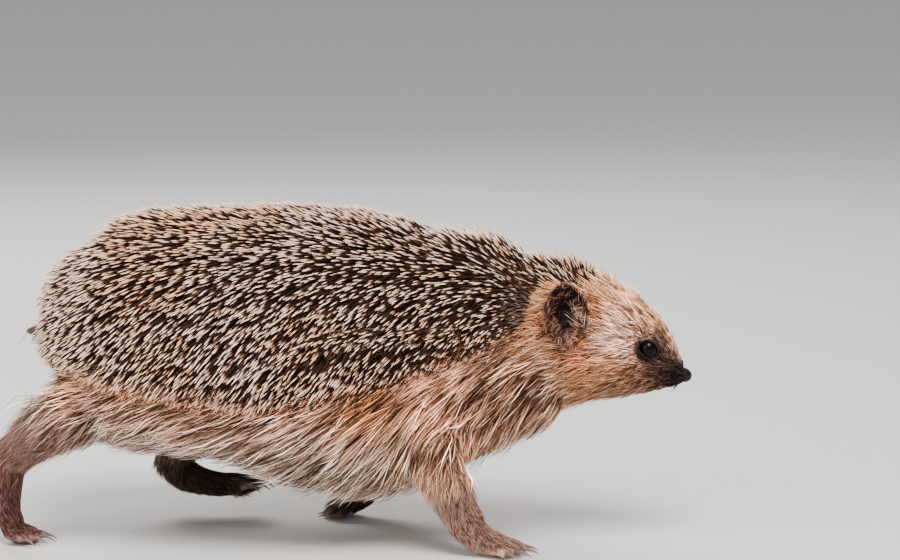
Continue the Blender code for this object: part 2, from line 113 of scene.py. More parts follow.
for ahead, *row in SPINE_ROWS:
    SPINE_GUIDES += [((ahead, out, up), (-1, slant, -slant), lift) for out, up, slant, lift in row]

COLOURS = {
    # cream: the fur low on the flank, darker than the pale fur above it, partly its own colour and partly
    # painted shade of the lower side
    "cream": (0.54, 0.45, 0.38),
    "white": (0.86, 0.75, 0.66),
    "pale": (0.74, 0.61, 0.51),
    "grey": (0.60, 0.47, 0.40),
    "rust": (1.62, 0.97, 0.63),
    "chest": (1.62, 1.06, 0.74),
    "jaw": (0.62, 0.43, 0.27),
    "orange": (1.12, 0.54, 0.22),
    "amber": (0.80, 0.37, 0.15),
    "sand": (1.22, 0.80, 0.50),
    "peach": (0.98, 0.60, 0.28),
    "lilac": (2.35, 1.90, 1.72),
    "blush": (1.40, 1.02, 0.82),
    "tan": (1.02, 0.68, 0.48),
    "brown": (0.46, 0.24, 0.14),
    "dun": (0.66, 0.44, 0.35),
    "mauve": (0.40, 0.235, 0.19),
    "plum": (0.27, 0.135, 0.115),
    "pink": (0.58, 0.38, 0.30),
    # shade: the far legs' dark brown, partly their own colour and partly painted shade of the side away from
    # the light
    "shade": (0.075, 0.040, 0.030),
    "silver": (0.50, 0.41, 0.37),
    "lobe": (0.46, 0.28, 0.225),
    # down and cup: the hair and the skin inside the ear's cup, near black, partly their own dark colour and
    # partly painted shade deep in the cup
    "down": (0.085, 0.045, 0.036),
    "rim": (0.30, 0.15, 0.10),
    "cup": (0.008, 0.0045, 0.0035),
    "mask": (0.036, 0.019, 0.015),
    "tail": (0.11, 0.065, 0.06),
}
COLOURS = {name: np.array(colour) for name, colour in COLOURS.items()}
# how little the hairs of a colour vary
EVENNESS = {"lilac": 1.0, "blush": 1.0, "pink": 0.75, "plum": 0.4, "mauve": 0.7, "dun": 0.5}
GUIDE_BLUR = 5.0  # how soft the change from one guide to the next is, in mm

# Fur: place, way it lies, length, lift in degrees, coat depth, colour, and the side where it isn't on both.
FUR_ROWS = (
    # rump and thigh
    ((-92, 12, 66), (-0.8, 0.2, -0.8), 9, 14, 7, "pale"),
    ((-87, 30, 65), (-1, 0.1, 0.35), 17, 24, 6.5, "pale"),
    ((-88, 32, 57), (-1, 0, -0.2), 17, 21, 6.5, "pale"),
    ((-80, 43, 60), (-1, 0, -0.45), 13, 13, 6, "rust"),
    ((-82, 38, 50), (-1, 0, -0.75), 13, 12, 5, "dun"),
    ((-84, 34, 44), (-0.9, 0, -1), 11, 10, 4, "mauve"),
    ((-68, 46, 46), (-1, 0, -0.85), 16, 11, 5.5, "grey"),
    ((-66, 38, 38), (-1, 0, -0.9), 14, 13, 5.5, "grey"),
    # flank fringe, under the spines; its low cream rows are darkened, partly as painted shade of the lower
    # side
    ((-52, 54, 62), (-1, 0, -0.45), 15, 12, 6.5, "rust"),
    ((-52, 52, 52), (-1, 0, -0.5), 22, 12, 7, "pale"),
    ((-50, 46, 38), (-1, 0, -0.85), 17, 13, 6.5, "pale"),
    ((-46, 36, 33), (-1, 0, -0.6), 13, 13, 5.5, "grey"),
    ((-18, 56, 58), (-1, 0, -0.28), 15, 11, 6.5, "rust"),
    ((-18, 54, 51), (-1, 0, -0.38), 24, 12, 7, "pale"),
    ((-16, 48, 35), (-1, 0, -0.6), 17, 13, 7, "cream"),
    ((-14, 38, 27), (-1, 0, -0.6), 12, 13, 5.5, "cream"),
    ((14, 56, 58), (-1, 0, -0.38), 15, 11, 6.5, "rust"),
    ((14, 54, 49), (-1, 0, -0.62), 25, 12, 7, "white"),
    ((14, 48, 30), (-1, 0, -1), 24, 13, 7, "cream"),
    ((12, 38, 20), (-0.85, 0, -1), 20, 14, 5.5, "cream"),
    ((38, 50, 60), (-1, 0, -0.6), 18, 12, 6, "orange"),
    ((38, 48, 46), (-1, 0, -0.9), 24, 12, 6.5, "pale"),
    ((36, 44, 32), (-0.8, 0, -1.15), 22, 13, 6.5, "pale"),
    ((34, 36, 22), (-0.7, 0, -1), 15, 13, 5, "grey"),
    # shoulder and chest
    ((60, 42, 70), (-1, 0, -0.55), 17, 12, 5.5, "chest"),
    ((62, 40, 54), (-0.7, 0, -0.95), 20, 13, 6, "chest"),
    ((62, 32, 38), (-0.5, 0, -1), 16, 13, 5.5, "chest"),
    ((76, 22, 38), (-0.3, 0, -1), 15, 16, 5.5, "pale"),
    ((60, 8, 30), (-0.7, 0, -0.7), 16, 15, 5, "pale"),
    # neck, behind and below the ear
    ((84, 33, 84), (-1, 0.1, -0.35), 12, 14, 4.2, "amber"),
    ((82, 35, 74), (-1, 0, -0.45), 15, 13, 4.8, "tan"),
    ((80, 33, 62), (-0.9, 0, -0.7), 18, 15, 5.2, "brown"),
    ((90, 25, 54), (-0.8, 0, -0.75), 17, 16, 5, "tan"),
    ((90, 8, 46), (-0.7, 0, -0.6), 14, 16, 4.8, "pale"),
    # head
    ((97, 27, 100), (-0.6, 0.5, 0.6), 6, 22, 2.2, "sand"),
    ((94, 30, 88), (-0.9, 0.5, 0), 7, 20, 2.4, "amber"),
    ((99, 28, 72), (-1, 0.1, -0.35), 9, 14, 3, "tan"),
    ((102, 24, 60), (-1, 0.1, -0.35), 12, 15, 3.8, "dun"),
    ((108, 23, 80), (-1, 0.1, -0.05), 7, 13, 2.6, "amber"),
    ((110, 22, 72), (-1, 0.1, -0.15), 8, 13, 2.6, "orange"),
    ((112, 20, 63), (-1, 0.1, -0.22), 9, 14, 3, "peach"),
    ((121.5, 17, 76.2), (-1, 0.1, 0.05), 5, 10, 1.8, "lilac"),
    ((116.5, 18.5, 76), (-1, 0.1, 0.05), 6, 10, 2.1, "blush"),
    ((118, 16, 69.5), (-1, 0.1, -0.1), 7, 12, 2, "orange"),
    ((112, 19, 86), (-0.95, 0.1, 0.3), 7, 14, 2.2, "orange"),
    ((107, 20, 94), (-0.9, 0.1, 0.35), 8, 17, 2.8, "orange"),
    ((113, 8, 97), (-0.85, 0.1, 0.4), 11, 30, 2.8, "peach"),
    ((124, 6, 90), (-0.75, 0.1, 0.55), 9, 24, 2, "sand"),
    ((124, 14, 82), (-0.85, 0.1, 0.4), 6, 14, 1.5, "sand"),
    ((134, 5, 81), (-0.65, 0.1, 0.7), 5, 16, 1.1, "peach"),
    ((132, 10, 77), (-0.7, 0.2, 0.6), 4, 13, 0.9, "tan"),
    ((140, 5, 70), (-0.6, 0.2, 0.7), 3, 14, 0.6, "tan"),
    ((139, 6, 63), (-0.9, 0.2, 0.2), 2.6, 12, 0.5, "mask"),
    ((128, 10, 64), (-1, 0.1, -0.1), 4.5, 13, 1.2, "brown"),
    ((120, 10, 58), (-1, 0.1, -0.25), 7, 14, 2.2, "jaw"),
    ((108, 8, 50), (-1, 0, -0.3), 10, 16, 3.8, "jaw"),
    # belly
    ((-60, 14, 34), (-1, 0, 0.1), 12, 16, 4, "grey"),
    ((-10, 14, 24), (-1, 0, -0.1), 12, 16, 4, "pale"),
    ((40, 12, 22), (-1, 0, -0.1), 12, 16, 4, "pale"),
    # legs; the far (left) legs are darker than the near ones, partly their own colour and partly painted
    # shade of the side away from the light
    ((54, 40, 34), (-0.15, 0, -1), 9, 11, 2.4, "tan", "right"),
    ((58, 38, 22), (0.1, 0, -1), 4.5, 9, 1.2, "pink", "right"),
    ((64, 37, 12), (0.5, 0, -0.8), 2.4, 8, 0.5, "pink", "right"),
    ((38, 38, 32), (-0.4, 0, -1), 8, 10, 2.2, "brown", "left"),
    ((29, 35, 22), (-0.5, 0, -0.9), 4, 8, 1.2, "shade", "left"),
    ((22, 33, 12), (-0.7, 0, -0.6), 2.4, 7, 0.5, "shade", "left"),
    ((-90, 37, 42), (-0.9, 0, -0.9), 9, 9, 2.8, "mauve", "right"),
    ((-98, 32, 38), (-0.8, 0, -0.9), 6, 8, 1.8, "mauve", "right"),
    ((-107, 28, 28), (-0.1, 0, -1), 3.4, 8, 0.9, "plum", "right"),
    ((-106, 28, 14), (0.1, 0, -1), 2.2, 8, 0.4, "plum", "right"),
    ((-101, 28, 5), (0.8, 0, -0.4), 1.8, 8, 0.3, "plum", "right"),
    ((-44, 38, 36), (-0.4, 0, -1), 10, 10, 2.6, "shade", "left"),
    ((-52, 34, 24), (-0.3, 0, -1), 5, 9, 1.2, "shade", "left"),
    ((-42, 32, 15), (0.9, 0, -0.3), 2.4, 7, 0.5, "shade", "left"),
)
FUR_GUIDES = [(*guide, "both")[:7] for guide in FUR_ROWS]


# ---- places


def centre_of(node):
    low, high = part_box(node)
    return (Vector(low) + Vector(high)) / 2


MIDDLE = Vector((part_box("trunk")[0][0] + RUMP_TO_MIDDLE, 0.0, 0.0))
HEAD_AHEAD = Vector((math.cos(HEAD_PITCH), 0.0, -math.sin(HEAD_PITCH)))
HEAD_UP = Vector((math.sin(HEAD_PITCH), 0.0, math.cos(HEAD_PITCH)))
EYES_MIDDLE = (centre_of("eye_right") + centre_of("eye_left")) / 2
HEAD_CENTRE = EYES_MIDDLE - HEAD_AHEAD * EYE_ALONG * MM - HEAD_UP * EYE_UP * MM


def head_place(along, outwards, up):
    return HEAD_CENTRE + HEAD_AHEAD * along * MM + Vector((0.0, outwards * MM, 0.0)) + HEAD_UP * up * MM


def on_body(points):
    """Places ahead of the middle, outwards from the middle plane and up from the floor, in mm."""
    places = (points - np.array(MIDDLE)) / MM
    places[:, 1] = np.abs(places[:, 1])
    return places


def on_head(points):
    """Places along the head's axis, outwards from the middle plane and up from the axis, in mm."""
    offset = points - np.array(HEAD_CENTRE)
    along = offset @ np.array(HEAD_AHEAD)
    up = offset @ np.array(HEAD_UP)
    return np.stack((along, np.abs(offset[:, 1]), up), 1) / MM


def step(value, start, end):
    """0 before start, 1 after end, and smooth between."""
    share = np.clip((value - start) / (end - start), 0.0, 1.0)
    return share * share * (3 - 2 * share)


def band(value, start, full, less, end):
    """1 between full and less, fading to 0 at start and end."""
    return step(value, start, full) * (1 - step(value, less, end))


def bell(value, middle, width):
    return np.exp(-(((value - middle) / width) ** 2))


def length(vectors):
    return np.linalg.norm(vectors, axis=1)


def unit(vectors):
    return vectors / np.maximum(length(vectors)[:, None], 1e-9)


def mixed(first, second, share):
    """The first where the share is 0 and the second where it is 1, for numbers or for rows of them."""
    if np.ndim(first) > 1:
        share = share[:, None]
    return first * (1 - share) + second * share


def mirrored(directions, points):
    """Outwards turned into left or right, and left or right into outwards."""
    directions = directions.copy()
    directions[:, 1] *= np.sign(points[:, 1])
    return directions


def flat_to(directions, ups):
    """The directions laid flat on the skin."""
    return unit(directions - ups * (directions * ups).sum(1, keepdims=True))


# ---- where the coat lies


def above_spine_edge(points):
    """How far inside the spines' area each point is, in mm, and less than 0 outside it."""
    place = on_body(points)
    ahead, out, up = place.T
    tail_gap = 13.0 * bell(out, 0.0, 10.0) * step(-ahead, 70.0, 85.0)
    above = up - np.interp(ahead, *np.array(SPINE_EDGE, float).T) - tail_gap
    front = SPINE_FRONT - SPINE_FRONT_DROP * (out / EAR_WIDTH) ** 2
    behind = (front - ahead) * 0.9
    above = mixed(above, np.minimum(behind, up - 84.0), step(ahead, 84.0, 92.0))
    ear = on_body(np.array([ear_frame(1.0)[0]]))[0]
    ring = np.hypot((ahead - ear[0]) / EAR_RING[0], (up - ear[2]) / EAR_RING[1])
    beside = (ring - 1.0) * EAR_RING[1] + 30.0 * (1 - step(out, 10.0, 16.0))
    return np.minimum.reduce([above, behind, beside])


def blend_guides(points, guides, owners):
    """The weight of each guide at each point: one row per point, each adding to 1."""
    place = on_body(points)
    weights = np.empty((len(place), len(guides)))
    for column, (guide, owner) in enumerate(zip(guides, owners)):
        apart = ((place - np.array(guide[0], float)) ** 2).sum(1)
        weights[:, column] = 1.0 / (apart + GUIDE_BLUR**2) ** 2
        if owner != "both":
            weights[:, column] *= 2.5 * ((points[:, 1] < 0) == (owner == "right"))
    return weights / weights.sum(1, keepdims=True)


def coat_plan(points, ups):
    """What the coat does at each point of the skin: a dictionary of arrays."""
    fur_weights = blend_guides(points, FUR_GUIDES, [guide[6] for guide in FUR_GUIDES])
    spine_weights = blend_guides(points, SPINE_GUIDES, ["both"] * len(SPINE_GUIDES))

    def fur(part):
        return fur_weights @ np.array([guide[part] for guide in FUR_GUIDES], float)

    def spines(part):
        return spine_weights @ np.array([guide[part] for guide in SPINE_GUIDES], float)

    ahead = on_body(points)[:, 0]
    inside = above_spine_edge(points)
    well_in = step(inside, 0.0, 9.0)
    tail = near_nodes(points, ["tail"], 0.6, 2.5)
    cover = step(inside, -1.2, 1.2) * (1 - tail)
    under = step(inside, -14.0, -3.0) * (1 - step(ahead, 88.0, 94.0))
    near_eye = 1 - step(from_eye(points), 4.6, 9.5)
    rump = step(-ahead, 55.0, 88.0)
    neck = step(ahead, 68.0, 108.0)
    spine_depth = SPINE_DEPTH - 3.0 * step(-ahead, 66.0, 90.0) - 3.4 * step(ahead, 58.0, 84.0)
    tint = fur_weights @ np.array([COLOURS[guide[5]] for guide in FUR_GUIDES])
    return {
        "cover": cover,
        "lie": flat_to(mirrored(fur(1), points), ups),
        "reach": fur(2) * MM * (1 - 0.45 * under) * (1 - 0.62 * near_eye),
        "lift": np.radians(fur(3)) * (1 - 0.6 * under) * (1 - 0.4 * near_eye),
        "depth": mixed(fur(4) * MM, spine_depth * MM, cover),
        "tint": face_marks(points, mixed(tint, COLOURS["tail"], tail)),
        "even": fur_weights @ np.array([EVENNESS.get(guide[5], 0.0) for guide in FUR_GUIDES]),
        "bare": np.maximum(bare_cover(points), tail),
        "spine_lie": flat_to(mirrored(spines(1), points), ups),
        "spine_lift": np.radians(spines(2)),
        "spine_size": (1 - 0.26 * rump - 0.46 * neck) * (0.70 + 0.30 * well_in),
        "spine_pale": 0.015 * rump + 0.09 * neck - 0.025 * (1 - well_in),
        "spine_rust": (1 - well_in) * step(84.0 - ahead, 0.0, 14.0),
    }


def from_eye(points):
    """The distance to the nearer eye's front, in mm."""
    return length(on_head(points) - np.array((EYE_ALONG, EYE_OUT + 1.9, EYE_UP)))


def bare_cover(points):
    """1 on bare skin: the soles and toes, the nose's seat, and round the eyes."""
    soles = step(-on_body(points)[:, 2], -5.0, -3.0)
    eyes = 1 - step(from_eye(points), 4.1, 4.7)
    nose = 1 - step(length(on_head(points) - np.array((53.0, 0.0, 0.5))), 3.1, 3.7)
    return np.maximum.reduce([soles, eyes, nose, near_nodes(points, CLAWS, 0.8, 2.6)])


def face_marks(points, colour):
    """The dark mask from over the eye to the nose, painted over the coat's colour."""
    marks = (
        # middle on the head, size, strength
        ((EYE_ALONG + 0.4, 13.0, EYE_UP - 0.5), (5.4, 9.0, 5.0), 1.0),
        ((45.5, 8.0, 2.2), (8.6, 7.0, 4.6), 0.76),
        ((53.0, 3.0, 0.0), (5.6, 6.0, 4.6), 0.97),
        ((EYE_ALONG + 5.2, 9.5, EYE_UP + 3.2), (5.6, 6.5, 4.0), 0.72),
    )
    for middle, size, strength in marks:
        apart = length((on_head(points) - np.array(middle)) / np.array(size))
        colour = mixed(colour, COLOURS["mask"], strength * (1 - step(apart, 0.80, 1.12)))
    return colour


# ---- meshes


def link(mesh, name):
    obj = bpy.data.objects.new(name, mesh)
    bpy.context.scene.collection.objects.link(obj)
    return obj


def finished(bm, name):
    """A built shape as a smooth mesh of its own."""
    mesh = bpy.data.meshes.new(name)
    bm.to_mesh(mesh)
    bm.free()
    mesh.shade_smooth()
    return mesh


def place_piece(piece, material, slot, *replaced):
    """Rides a finished piece on the body, with its material and the solids that it stands for; its slot is
    not used.
    """
    if material:
        piece.data.materials.append(material)
    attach(piece, "root")
    if replaced:
        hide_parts(*replaced)


def ring_of(bm, centre, aside, over, sides):
    """A ring of vertices round a centre, aside and over being its half widths."""
    turns = [2 * math.pi * i / sides for i in range(sides)]
    return [bm.verts.new(centre + aside * math.cos(turn) + over * math.sin(turn)) for turn in turns]


def bridge(bm, rows):
    """Faces between each ring and the next."""
    faces = []
    for first, second in zip(rows, rows[1:]):
        for i in range(len(first)):
            j = (i + 1) % len(first)
            faces.append(bm.faces.new((first[i], first[j], second[j], second[i])))
    return faces


def close(bm, row, tip):
    """Faces from a ring to a tip."""
    for i in range(len(row)):
        bm.faces.new((row[i], row[(i + 1) % len(row)], tip))


def values_of(items, slot, width, kind=float):
    values = np.empty(len(items) * width, kind)
    items.foreach_get(slot, values)
    return values.reshape(-1, width)


def points_of(mesh):
    return values_of(mesh.vertices, "co", 3)


def ups_of(mesh):
    return values_of(mesh.vertex_normals, "vector", 3)


def edges_of(mesh):
    return values_of(mesh.edges, "vertices", 2, int)


def put_points(mesh, points):
    mesh.vertices.foreach_set("co", points.ravel())
    mesh.update()


def relax(values, edges, rounds, strength):
    """Evens out values over a mesh. Strength is one number or one for each point."""
    ends = np.concatenate((edges[:, 0], edges[:, 1]))
    others = np.concatenate((edges[:, 1], edges[:, 0]))
    count = np.maximum(np.bincount(ends, minlength=len(values)), 1)[:, None]
    strength = np.broadcast_to(strength, (len(values),))[:, None]
    for _ in range(rounds):
        sums = [np.bincount(ends, values[others, axis], len(values)) for axis in range(values.shape[1])]
        values = values + (np.stack(sums, 1) / count - values) * strength
    return values


def evaluated(obj):
    """The object's mesh with its modifiers applied, which are then taken off."""
    graph = bpy.context.evaluated_depsgraph_get()
    mesh = bpy.data.meshes.new_from_object(obj.evaluated_get(graph))
    obj.modifiers.clear()
    obj.data = mesh
    return mesh


def with_modifier(obj, kind, **settings):
    """The object's mesh after one modifier."""
    modifier = obj.modifiers.new(kind.lower(), kind)
    for name, value in settings.items():
        setattr(modifier, name, value)
    return evaluated(obj)


def write_field(mesh, name, values):
    """Stores one value per vertex: a number, a direction or a colour."""
    kind, slot = ("FLOAT", "value") if values.ndim == 1 else ("FLOAT_VECTOR", "vector")
    field = mesh.attributes.new(name, kind, "POINT")
    field.data.foreach_set(slot, np.ascontiguousarray(values, np.float32).ravel())


def gathered(meshes):
    bm = bmesh.new()
    for mesh in meshes:
        bm.from_mesh(mesh)
    return bm


def joined(objects, name):
    bm = gathered([obj.data for obj in objects])
    bmesh.ops.remove_doubles(bm, verts=bm.verts, dist=1e-6)
    return link(finished(bm, name), name)


def near_nodes(points, names, inner, outer):
    """1 on the named nodes and within inner of them, 0 beyond outer, in mm."""
    bm = gathered([NODES[name].data for name in names])
    tree = BVHTree.FromBMesh(bm)
    corners = np.array([vertex.co for vertex in bm.verts])
    bm.free()
    reach = outer * MM
    inside = (points > corners.min(0) - reach) & (points < corners.max(0) + reach)
    apart = np.full(len(points), 1e3)
    for i in np.flatnonzero(inside.all(1)):
        apart[i] = tree.find_nearest(Vector(points[i]))[3] / MM
    return 1 - step(apart, inner, outer)


def surface_tree(mesh):
    return BVHTree.FromPolygons(points_of(mesh).tolist(), [face.vertices[:] for face in mesh.polygons])


def signed_apart(tree, spots):
    """How far outside a closed surface each spot is, in metres, and less than 0 inside it."""
    apart = np.empty(len(spots))
    for i, spot in enumerate(spots.tolist()):
        near, normal, _, distance = tree.find_nearest(spot)
        apart[i] = math.copysign(distance, (Vector(spot) - near).dot(normal))
    return apart


# ---- ears


def ear_frame(side):
    """An ear's middle, and the ways across it towards the nose, up it, and out of its cup."""
    facing = Vector((math.cos(EAR_TURN_OUT), side * math.sin(EAR_TURN_OUT), 0.18)).normalized()
    upwards = Vector((-math.sin(EAR_LEAN_BACK), side * 0.10, math.cos(EAR_LEAN_BACK)))
    across = facing.cross(upwards).normalized() * side
    middle = head_place(EAR_ALONG, side * EAR_OUT, EAR_UP)
    return middle, across, across.cross(facing).normalized() * side, facing


def on_ear(points, ups):
    """On the ear of each point's own side: places towards its front edge, up and out of its cup, as shares
    of its size, how far each is from its middle, how far off its shell, and how much it faces out."""
    middle, *ways = ear_frame(1.0)
    offset = mirrored(points, points) - np.array(middle)
    across, up, out = (offset @ np.array(ways).T / MM / EAR_SIZES).T
    rim = np.hypot(across, up)
    off_shell = out - (np.minimum(rim, 1.0) ** 2.4 - 1.0)
    return across, up, out, rim, off_shell, mirrored(ups, points) @ np.array(ways[2])


def ear_places(points, ups):
    """Where each part of the ears is: shares from 0 to 1 by name."""
    across, up, out, rim, off_shell, facing = on_ear(points, ups)
    deep = (off_shell > -0.15) & (out < 0.30)
    cups = (1 - step(rim, 1.0, 1.10)) * step(facing, -0.15, 0.15) * deep
    shell = (off_shell > -0.50) & (off_shell < 0.35)
    lower = 1 - 0.85 * step(up, -0.80, -0.40)
    front_edge = step(across - 0.35 * up, 0.35, 0.55) * (np.abs(out) < 0.9)
    opening_front = band(across, 0.25, 0.45, 1.05, 1.3) * (np.abs(out) < 1.6)
    return {
        "cups": cups,
        "backs": band(rim, 0.45, 0.65, 1.15, 1.3) * (1 - step(facing, 0.15, 0.45)) * shell,
        "rear": cups * step(-across - 0.25 * up, 0.25, 0.75),
        "crown": cups * step(up, 0.30, 0.75),
        "lobe": cups * (1 - step(up, -0.62, -0.30)),
        "tuft": cups * band(across, 0.30, 0.60, 1.05, 1.15) * (up < 0.25) * (up > -0.75),
        # the front edge, which the fur of the cheek half covers
        "lip": band(rim, 0.84, 0.94, 1.25, 1.4) * lower * front_edge,
        # the head's own surface in the front of the opening
        "temple": opening_front * band(up, -1.0, -0.8, 0.2, 0.5),
    }


def ear_shell(side):
    """An ear: an oval cup of thin skin with a ridge and a fold in it, its lower front edge sunk in the head.
    """
    spokes, hoops = 64, 20
    middle, across, upwards, facing = ear_frame(side)
    half_width, half_height, cup = EAR_SIZES
    bm = bmesh.new()
    rows = []
    for hoop in range(hoops + 1):
        share = hoop / hoops
        row = []
        for spoke in range(spokes if hoop else 1):
            angle = 2 * math.pi * spoke / spokes
            narrowing = 1.0 - 0.36 * max(0.0, -math.sin(angle))
            x = share * math.cos(angle) * narrowing
            z = share * math.sin(angle)
            depth = cup * (share**2.4 - 1.0)
            ridge = 1.6 * math.exp(-(((x - 0.35) / 0.13) ** 2) - ((z + 0.25) / 0.35) ** 2)
            fold = 0.9 * math.exp(-(((x + 0.1) / 0.5) ** 2) - ((z + 0.42) / 0.10) ** 2)
            place = across * x * half_width + upwards * z * half_height + facing * (depth + ridge + fold)
            row.append(bm.verts.new(middle + place * MM))
        rows.append(row)
    close(bm, rows[1], rows[0][0])
    bridge(bm, rows[1:])
    bmesh.ops.recalc_face_normals(bm, faces=bm.faces)
    ear = link(finished(bm, "ear"), "ear_shell")
    with_modifier(ear, "SOLIDIFY", thickness=EAR_WALL, offset=0.0)
    return ear


# ---- skin


def foot_share(points):
    """1 on the feet, where the skin keeps its small forms, 0 on the body."""
    return np.maximum.reduce([near_nodes(points, [foot], 0.8, 5.0) for foot in FEET])


def near_ears(points):
    return 1 - step(length(on_head(points) - np.array((3.8, 27.0, 6.5))), 12.0, 15.0)


def make_skin():
    """One skin, as far inside the coat's outline as the coat is deep, and that outline."""
    seats = ["eye_right", "eye_left", "nose"]  # these fill their sockets
    body = joined([NODES[name] for name in FLESH + seats], "body")
    mesh = with_modifier(body, "REMESH", mode="VOXEL", voxel_size=BODY_GRAIN)
    outline = surface_tree(mesh)
    points, edges = points_of(mesh), edges_of(mesh)
    feet = foot_share(points)
    points = relax(points, edges, 10, 0.5 - 0.42 * feet)
    put_points(mesh, points)
    ups = unit(relax(ups_of(mesh), edges, 6, 0.5))
    thin = np.maximum(feet, near_nodes(points, ["tail"], 0.5, 3.0))
    depth = mixed(coat_plan(points, ups)["depth"], 0.15 * MM, thin)[:, None]
    put_points(mesh, points - ups * relax(depth, edges, 12, 0.5 * (1 - thin)))
    parts = [body] + [ear_shell(side) for _, side in SIDES]
    skin = joined(parts, "skin")
    for obj in parts:
        bpy.data.objects.remove(obj)
    mesh = with_modifier(skin, "REMESH", mode="VOXEL", voxel_size=SKIN_GRAIN)
    points = points_of(mesh)
    kept = np.maximum(foot_share(points), near_ears(points))
    put_points(mesh, relax(points, edges_of(mesh), 6, 0.5 - 0.35 * kept))
    thin_out(skin)
    refine_face(skin.data)
    shape_face(skin.data)
    skin.data.shade_smooth()
    skin.data.name = "skin"
    return skin, outline


def thin_out(obj):
    """Fewer faces under the spines and the long fur, where nothing small shows."""
    points = points_of(obj.data)
    head = step(on_head(points)[:, 0], -8.0, 2.0)
    hind_foot = step(-on_body(points)[:, 0], 97.0, 102.0)
    keep = np.maximum.reduce([head, hind_foot, foot_share(points)])
    group = obj.vertex_groups.new(name="thin")
    group.add(np.flatnonzero(keep < 0.5).tolist(), 1.0, "REPLACE")
    with_modifier(obj, "DECIMATE", ratio=0.30, vertex_group="thin", vertex_group_factor=1.0)
    obj.vertex_groups.clear()


def refine_face(mesh):
    """Smaller faces round the eyes and on the muzzle."""
    bm = gathered([mesh])
    places = on_head(np.array([vertex.co for vertex in bm.verts]))
    eye = length(places - np.array((EYE_ALONG, EYE_OUT + 1.4, EYE_UP))) < 7.5
    wanted = eye | (places[:, 0] > 44.0)
    chosen = [edge for edge in bm.edges if all(wanted[vertex.index] for vertex in edge.verts)]
    bmesh.ops.subdivide_edges(bm, edges=chosen, cuts=1, use_grid_fill=True)
    bmesh.ops.triangulate(bm, faces=[face for face in bm.faces if len(face.verts) > 4])
    bm.to_mesh(mesh)
    bm.free()


def shape_face(mesh):
    """Lids round the eyeballs, a slimmer muzzle and the line of the mouth."""
    points = points_of(mesh)
    along, out, up = on_head(points).T
    sign = np.sign(points[:, 1])
    # lids: a thin wall over the ball up to the opening, in a shallow socket
    ahead, outwards, above = along - EYE_ALONG, out - EYE_OUT, up - EYE_UP
    across = np.sqrt(ahead**2 + (above * 1.12) ** 2)
    opening = 3.20 + 0.20 * np.abs(ahead) / np.maximum(across, 0.1)
    lid = np.sqrt(np.maximum((EYE_RADIUS + 0.4) ** 2 - across**2, 0.2))
    lid = lid + 0.25 * bell(across, opening + 0.5, 0.5)
    behind_ball = -1.5
    target = behind_ball + (lid - behind_ball) * step(across, opening - 0.30, opening + 0.05)
    hold = 1 - step(across, 3.8, 6.4)
    change = (target - outwards) * hold - 0.5 * bell(across, 5.3, 1.1) * (1 - hold)
    points[:, 1] += sign * np.where((outwards > -2.5) & (across < 7.5), change, 0.0) * MM
    # muzzle: shorter and slimmer towards the nose
    shorter = np.clip(along - (53.3 + 0.45 * np.minimum(up + 1.0, 0.0)), 0.0, None) * 0.62
    slim = step(along, 42.0, 52.0)
    lower = (up - 0.4) * 0.30 * slim
    points -= (np.outer(shorter, HEAD_AHEAD) + np.outer(lower, HEAD_UP)) * MM
    points[:, 1] -= sign * out * 0.12 * slim * MM
    # mouth: a groove between two lips
    line = -3.6 - 0.02 * (50.0 - along) - 0.0045 * (50.0 - along) ** 2
    groove = bell(up, line, 0.55) * step(along, 33.0, 37.0)
    lips = (bell(up, line + 1.2, 0.9) + bell(up, line - 1.2, 0.9)) * step(along, 33.0, 38.0)
    depth = (up < 0.0) * (groove * 0.8 - lips * 0.25) * MM
    put_points(mesh, points - ups_of(mesh) * depth[:, None])


def unwrap(obj):
    """Lays the skin out flat in a map named OFBake."""
    obj.data.uv_layers.active = obj.data.uv_layers.new(name="OFBake")
    bpy.context.view_layer.objects.active = obj
    obj.select_set(True)
    bpy.ops.object.mode_set(mode="EDIT")
    bpy.ops.mesh.select_all(action="SELECT")
    bpy.ops.uv.smart_project(angle_limit=math.radians(66), island_margin=0.004)
    bpy.ops.object.mode_set(mode="OBJECT")
    obj.select_set(False)


def fitted_reach(mesh, outline, ups, plan):
    """Fur short enough not to run through a leg or hang outside the animal's outline."""
    points = points_of(mesh)
    reach = plan["reach"].copy()
    long_fur = np.flatnonzero((reach > 0.006) & (plan["cover"] < 0.9))
    own = surface_tree(mesh)
    limit = reach[long_fur].copy()
    full = reach[long_fur][:, None]
    way, up = plan["lie"][long_fur], ups[long_fur]
    lift = plan["lift"][long_fur][:, None]
    place = on_body(points)[long_fur]
    rump = step(-place[:, 0], 78.0, 88.0)
    fringe = (1 - step(place[:, 2], 32.0, 44.0)) * band(place[:, 0], -45.0, -25.0, 38.0, 48.0)
    spare = (1.2 + 5.0 * rump + 2.8 * fringe) * MM
    for share in (1.0, 0.8, 0.6, 0.4, 0.2):
        flat = points[long_fur] + way * full * share + up * 0.4 * MM
        risen = flat + up * full * lift * share * (2.0 - share)
        wrong = (signed_apart(own, flat) < -2.2 * MM) | (signed_apart(outline, risen) > spare)
        limit = np.where(wrong, full[:, 0] * max(share - 0.1, 0.25), limit)
    reach[long_fur] = limit
    even = relax(reach[:, None], edges_of(mesh), 8, 0.5)[:, 0]
    return np.minimum(even, plan["reach"])


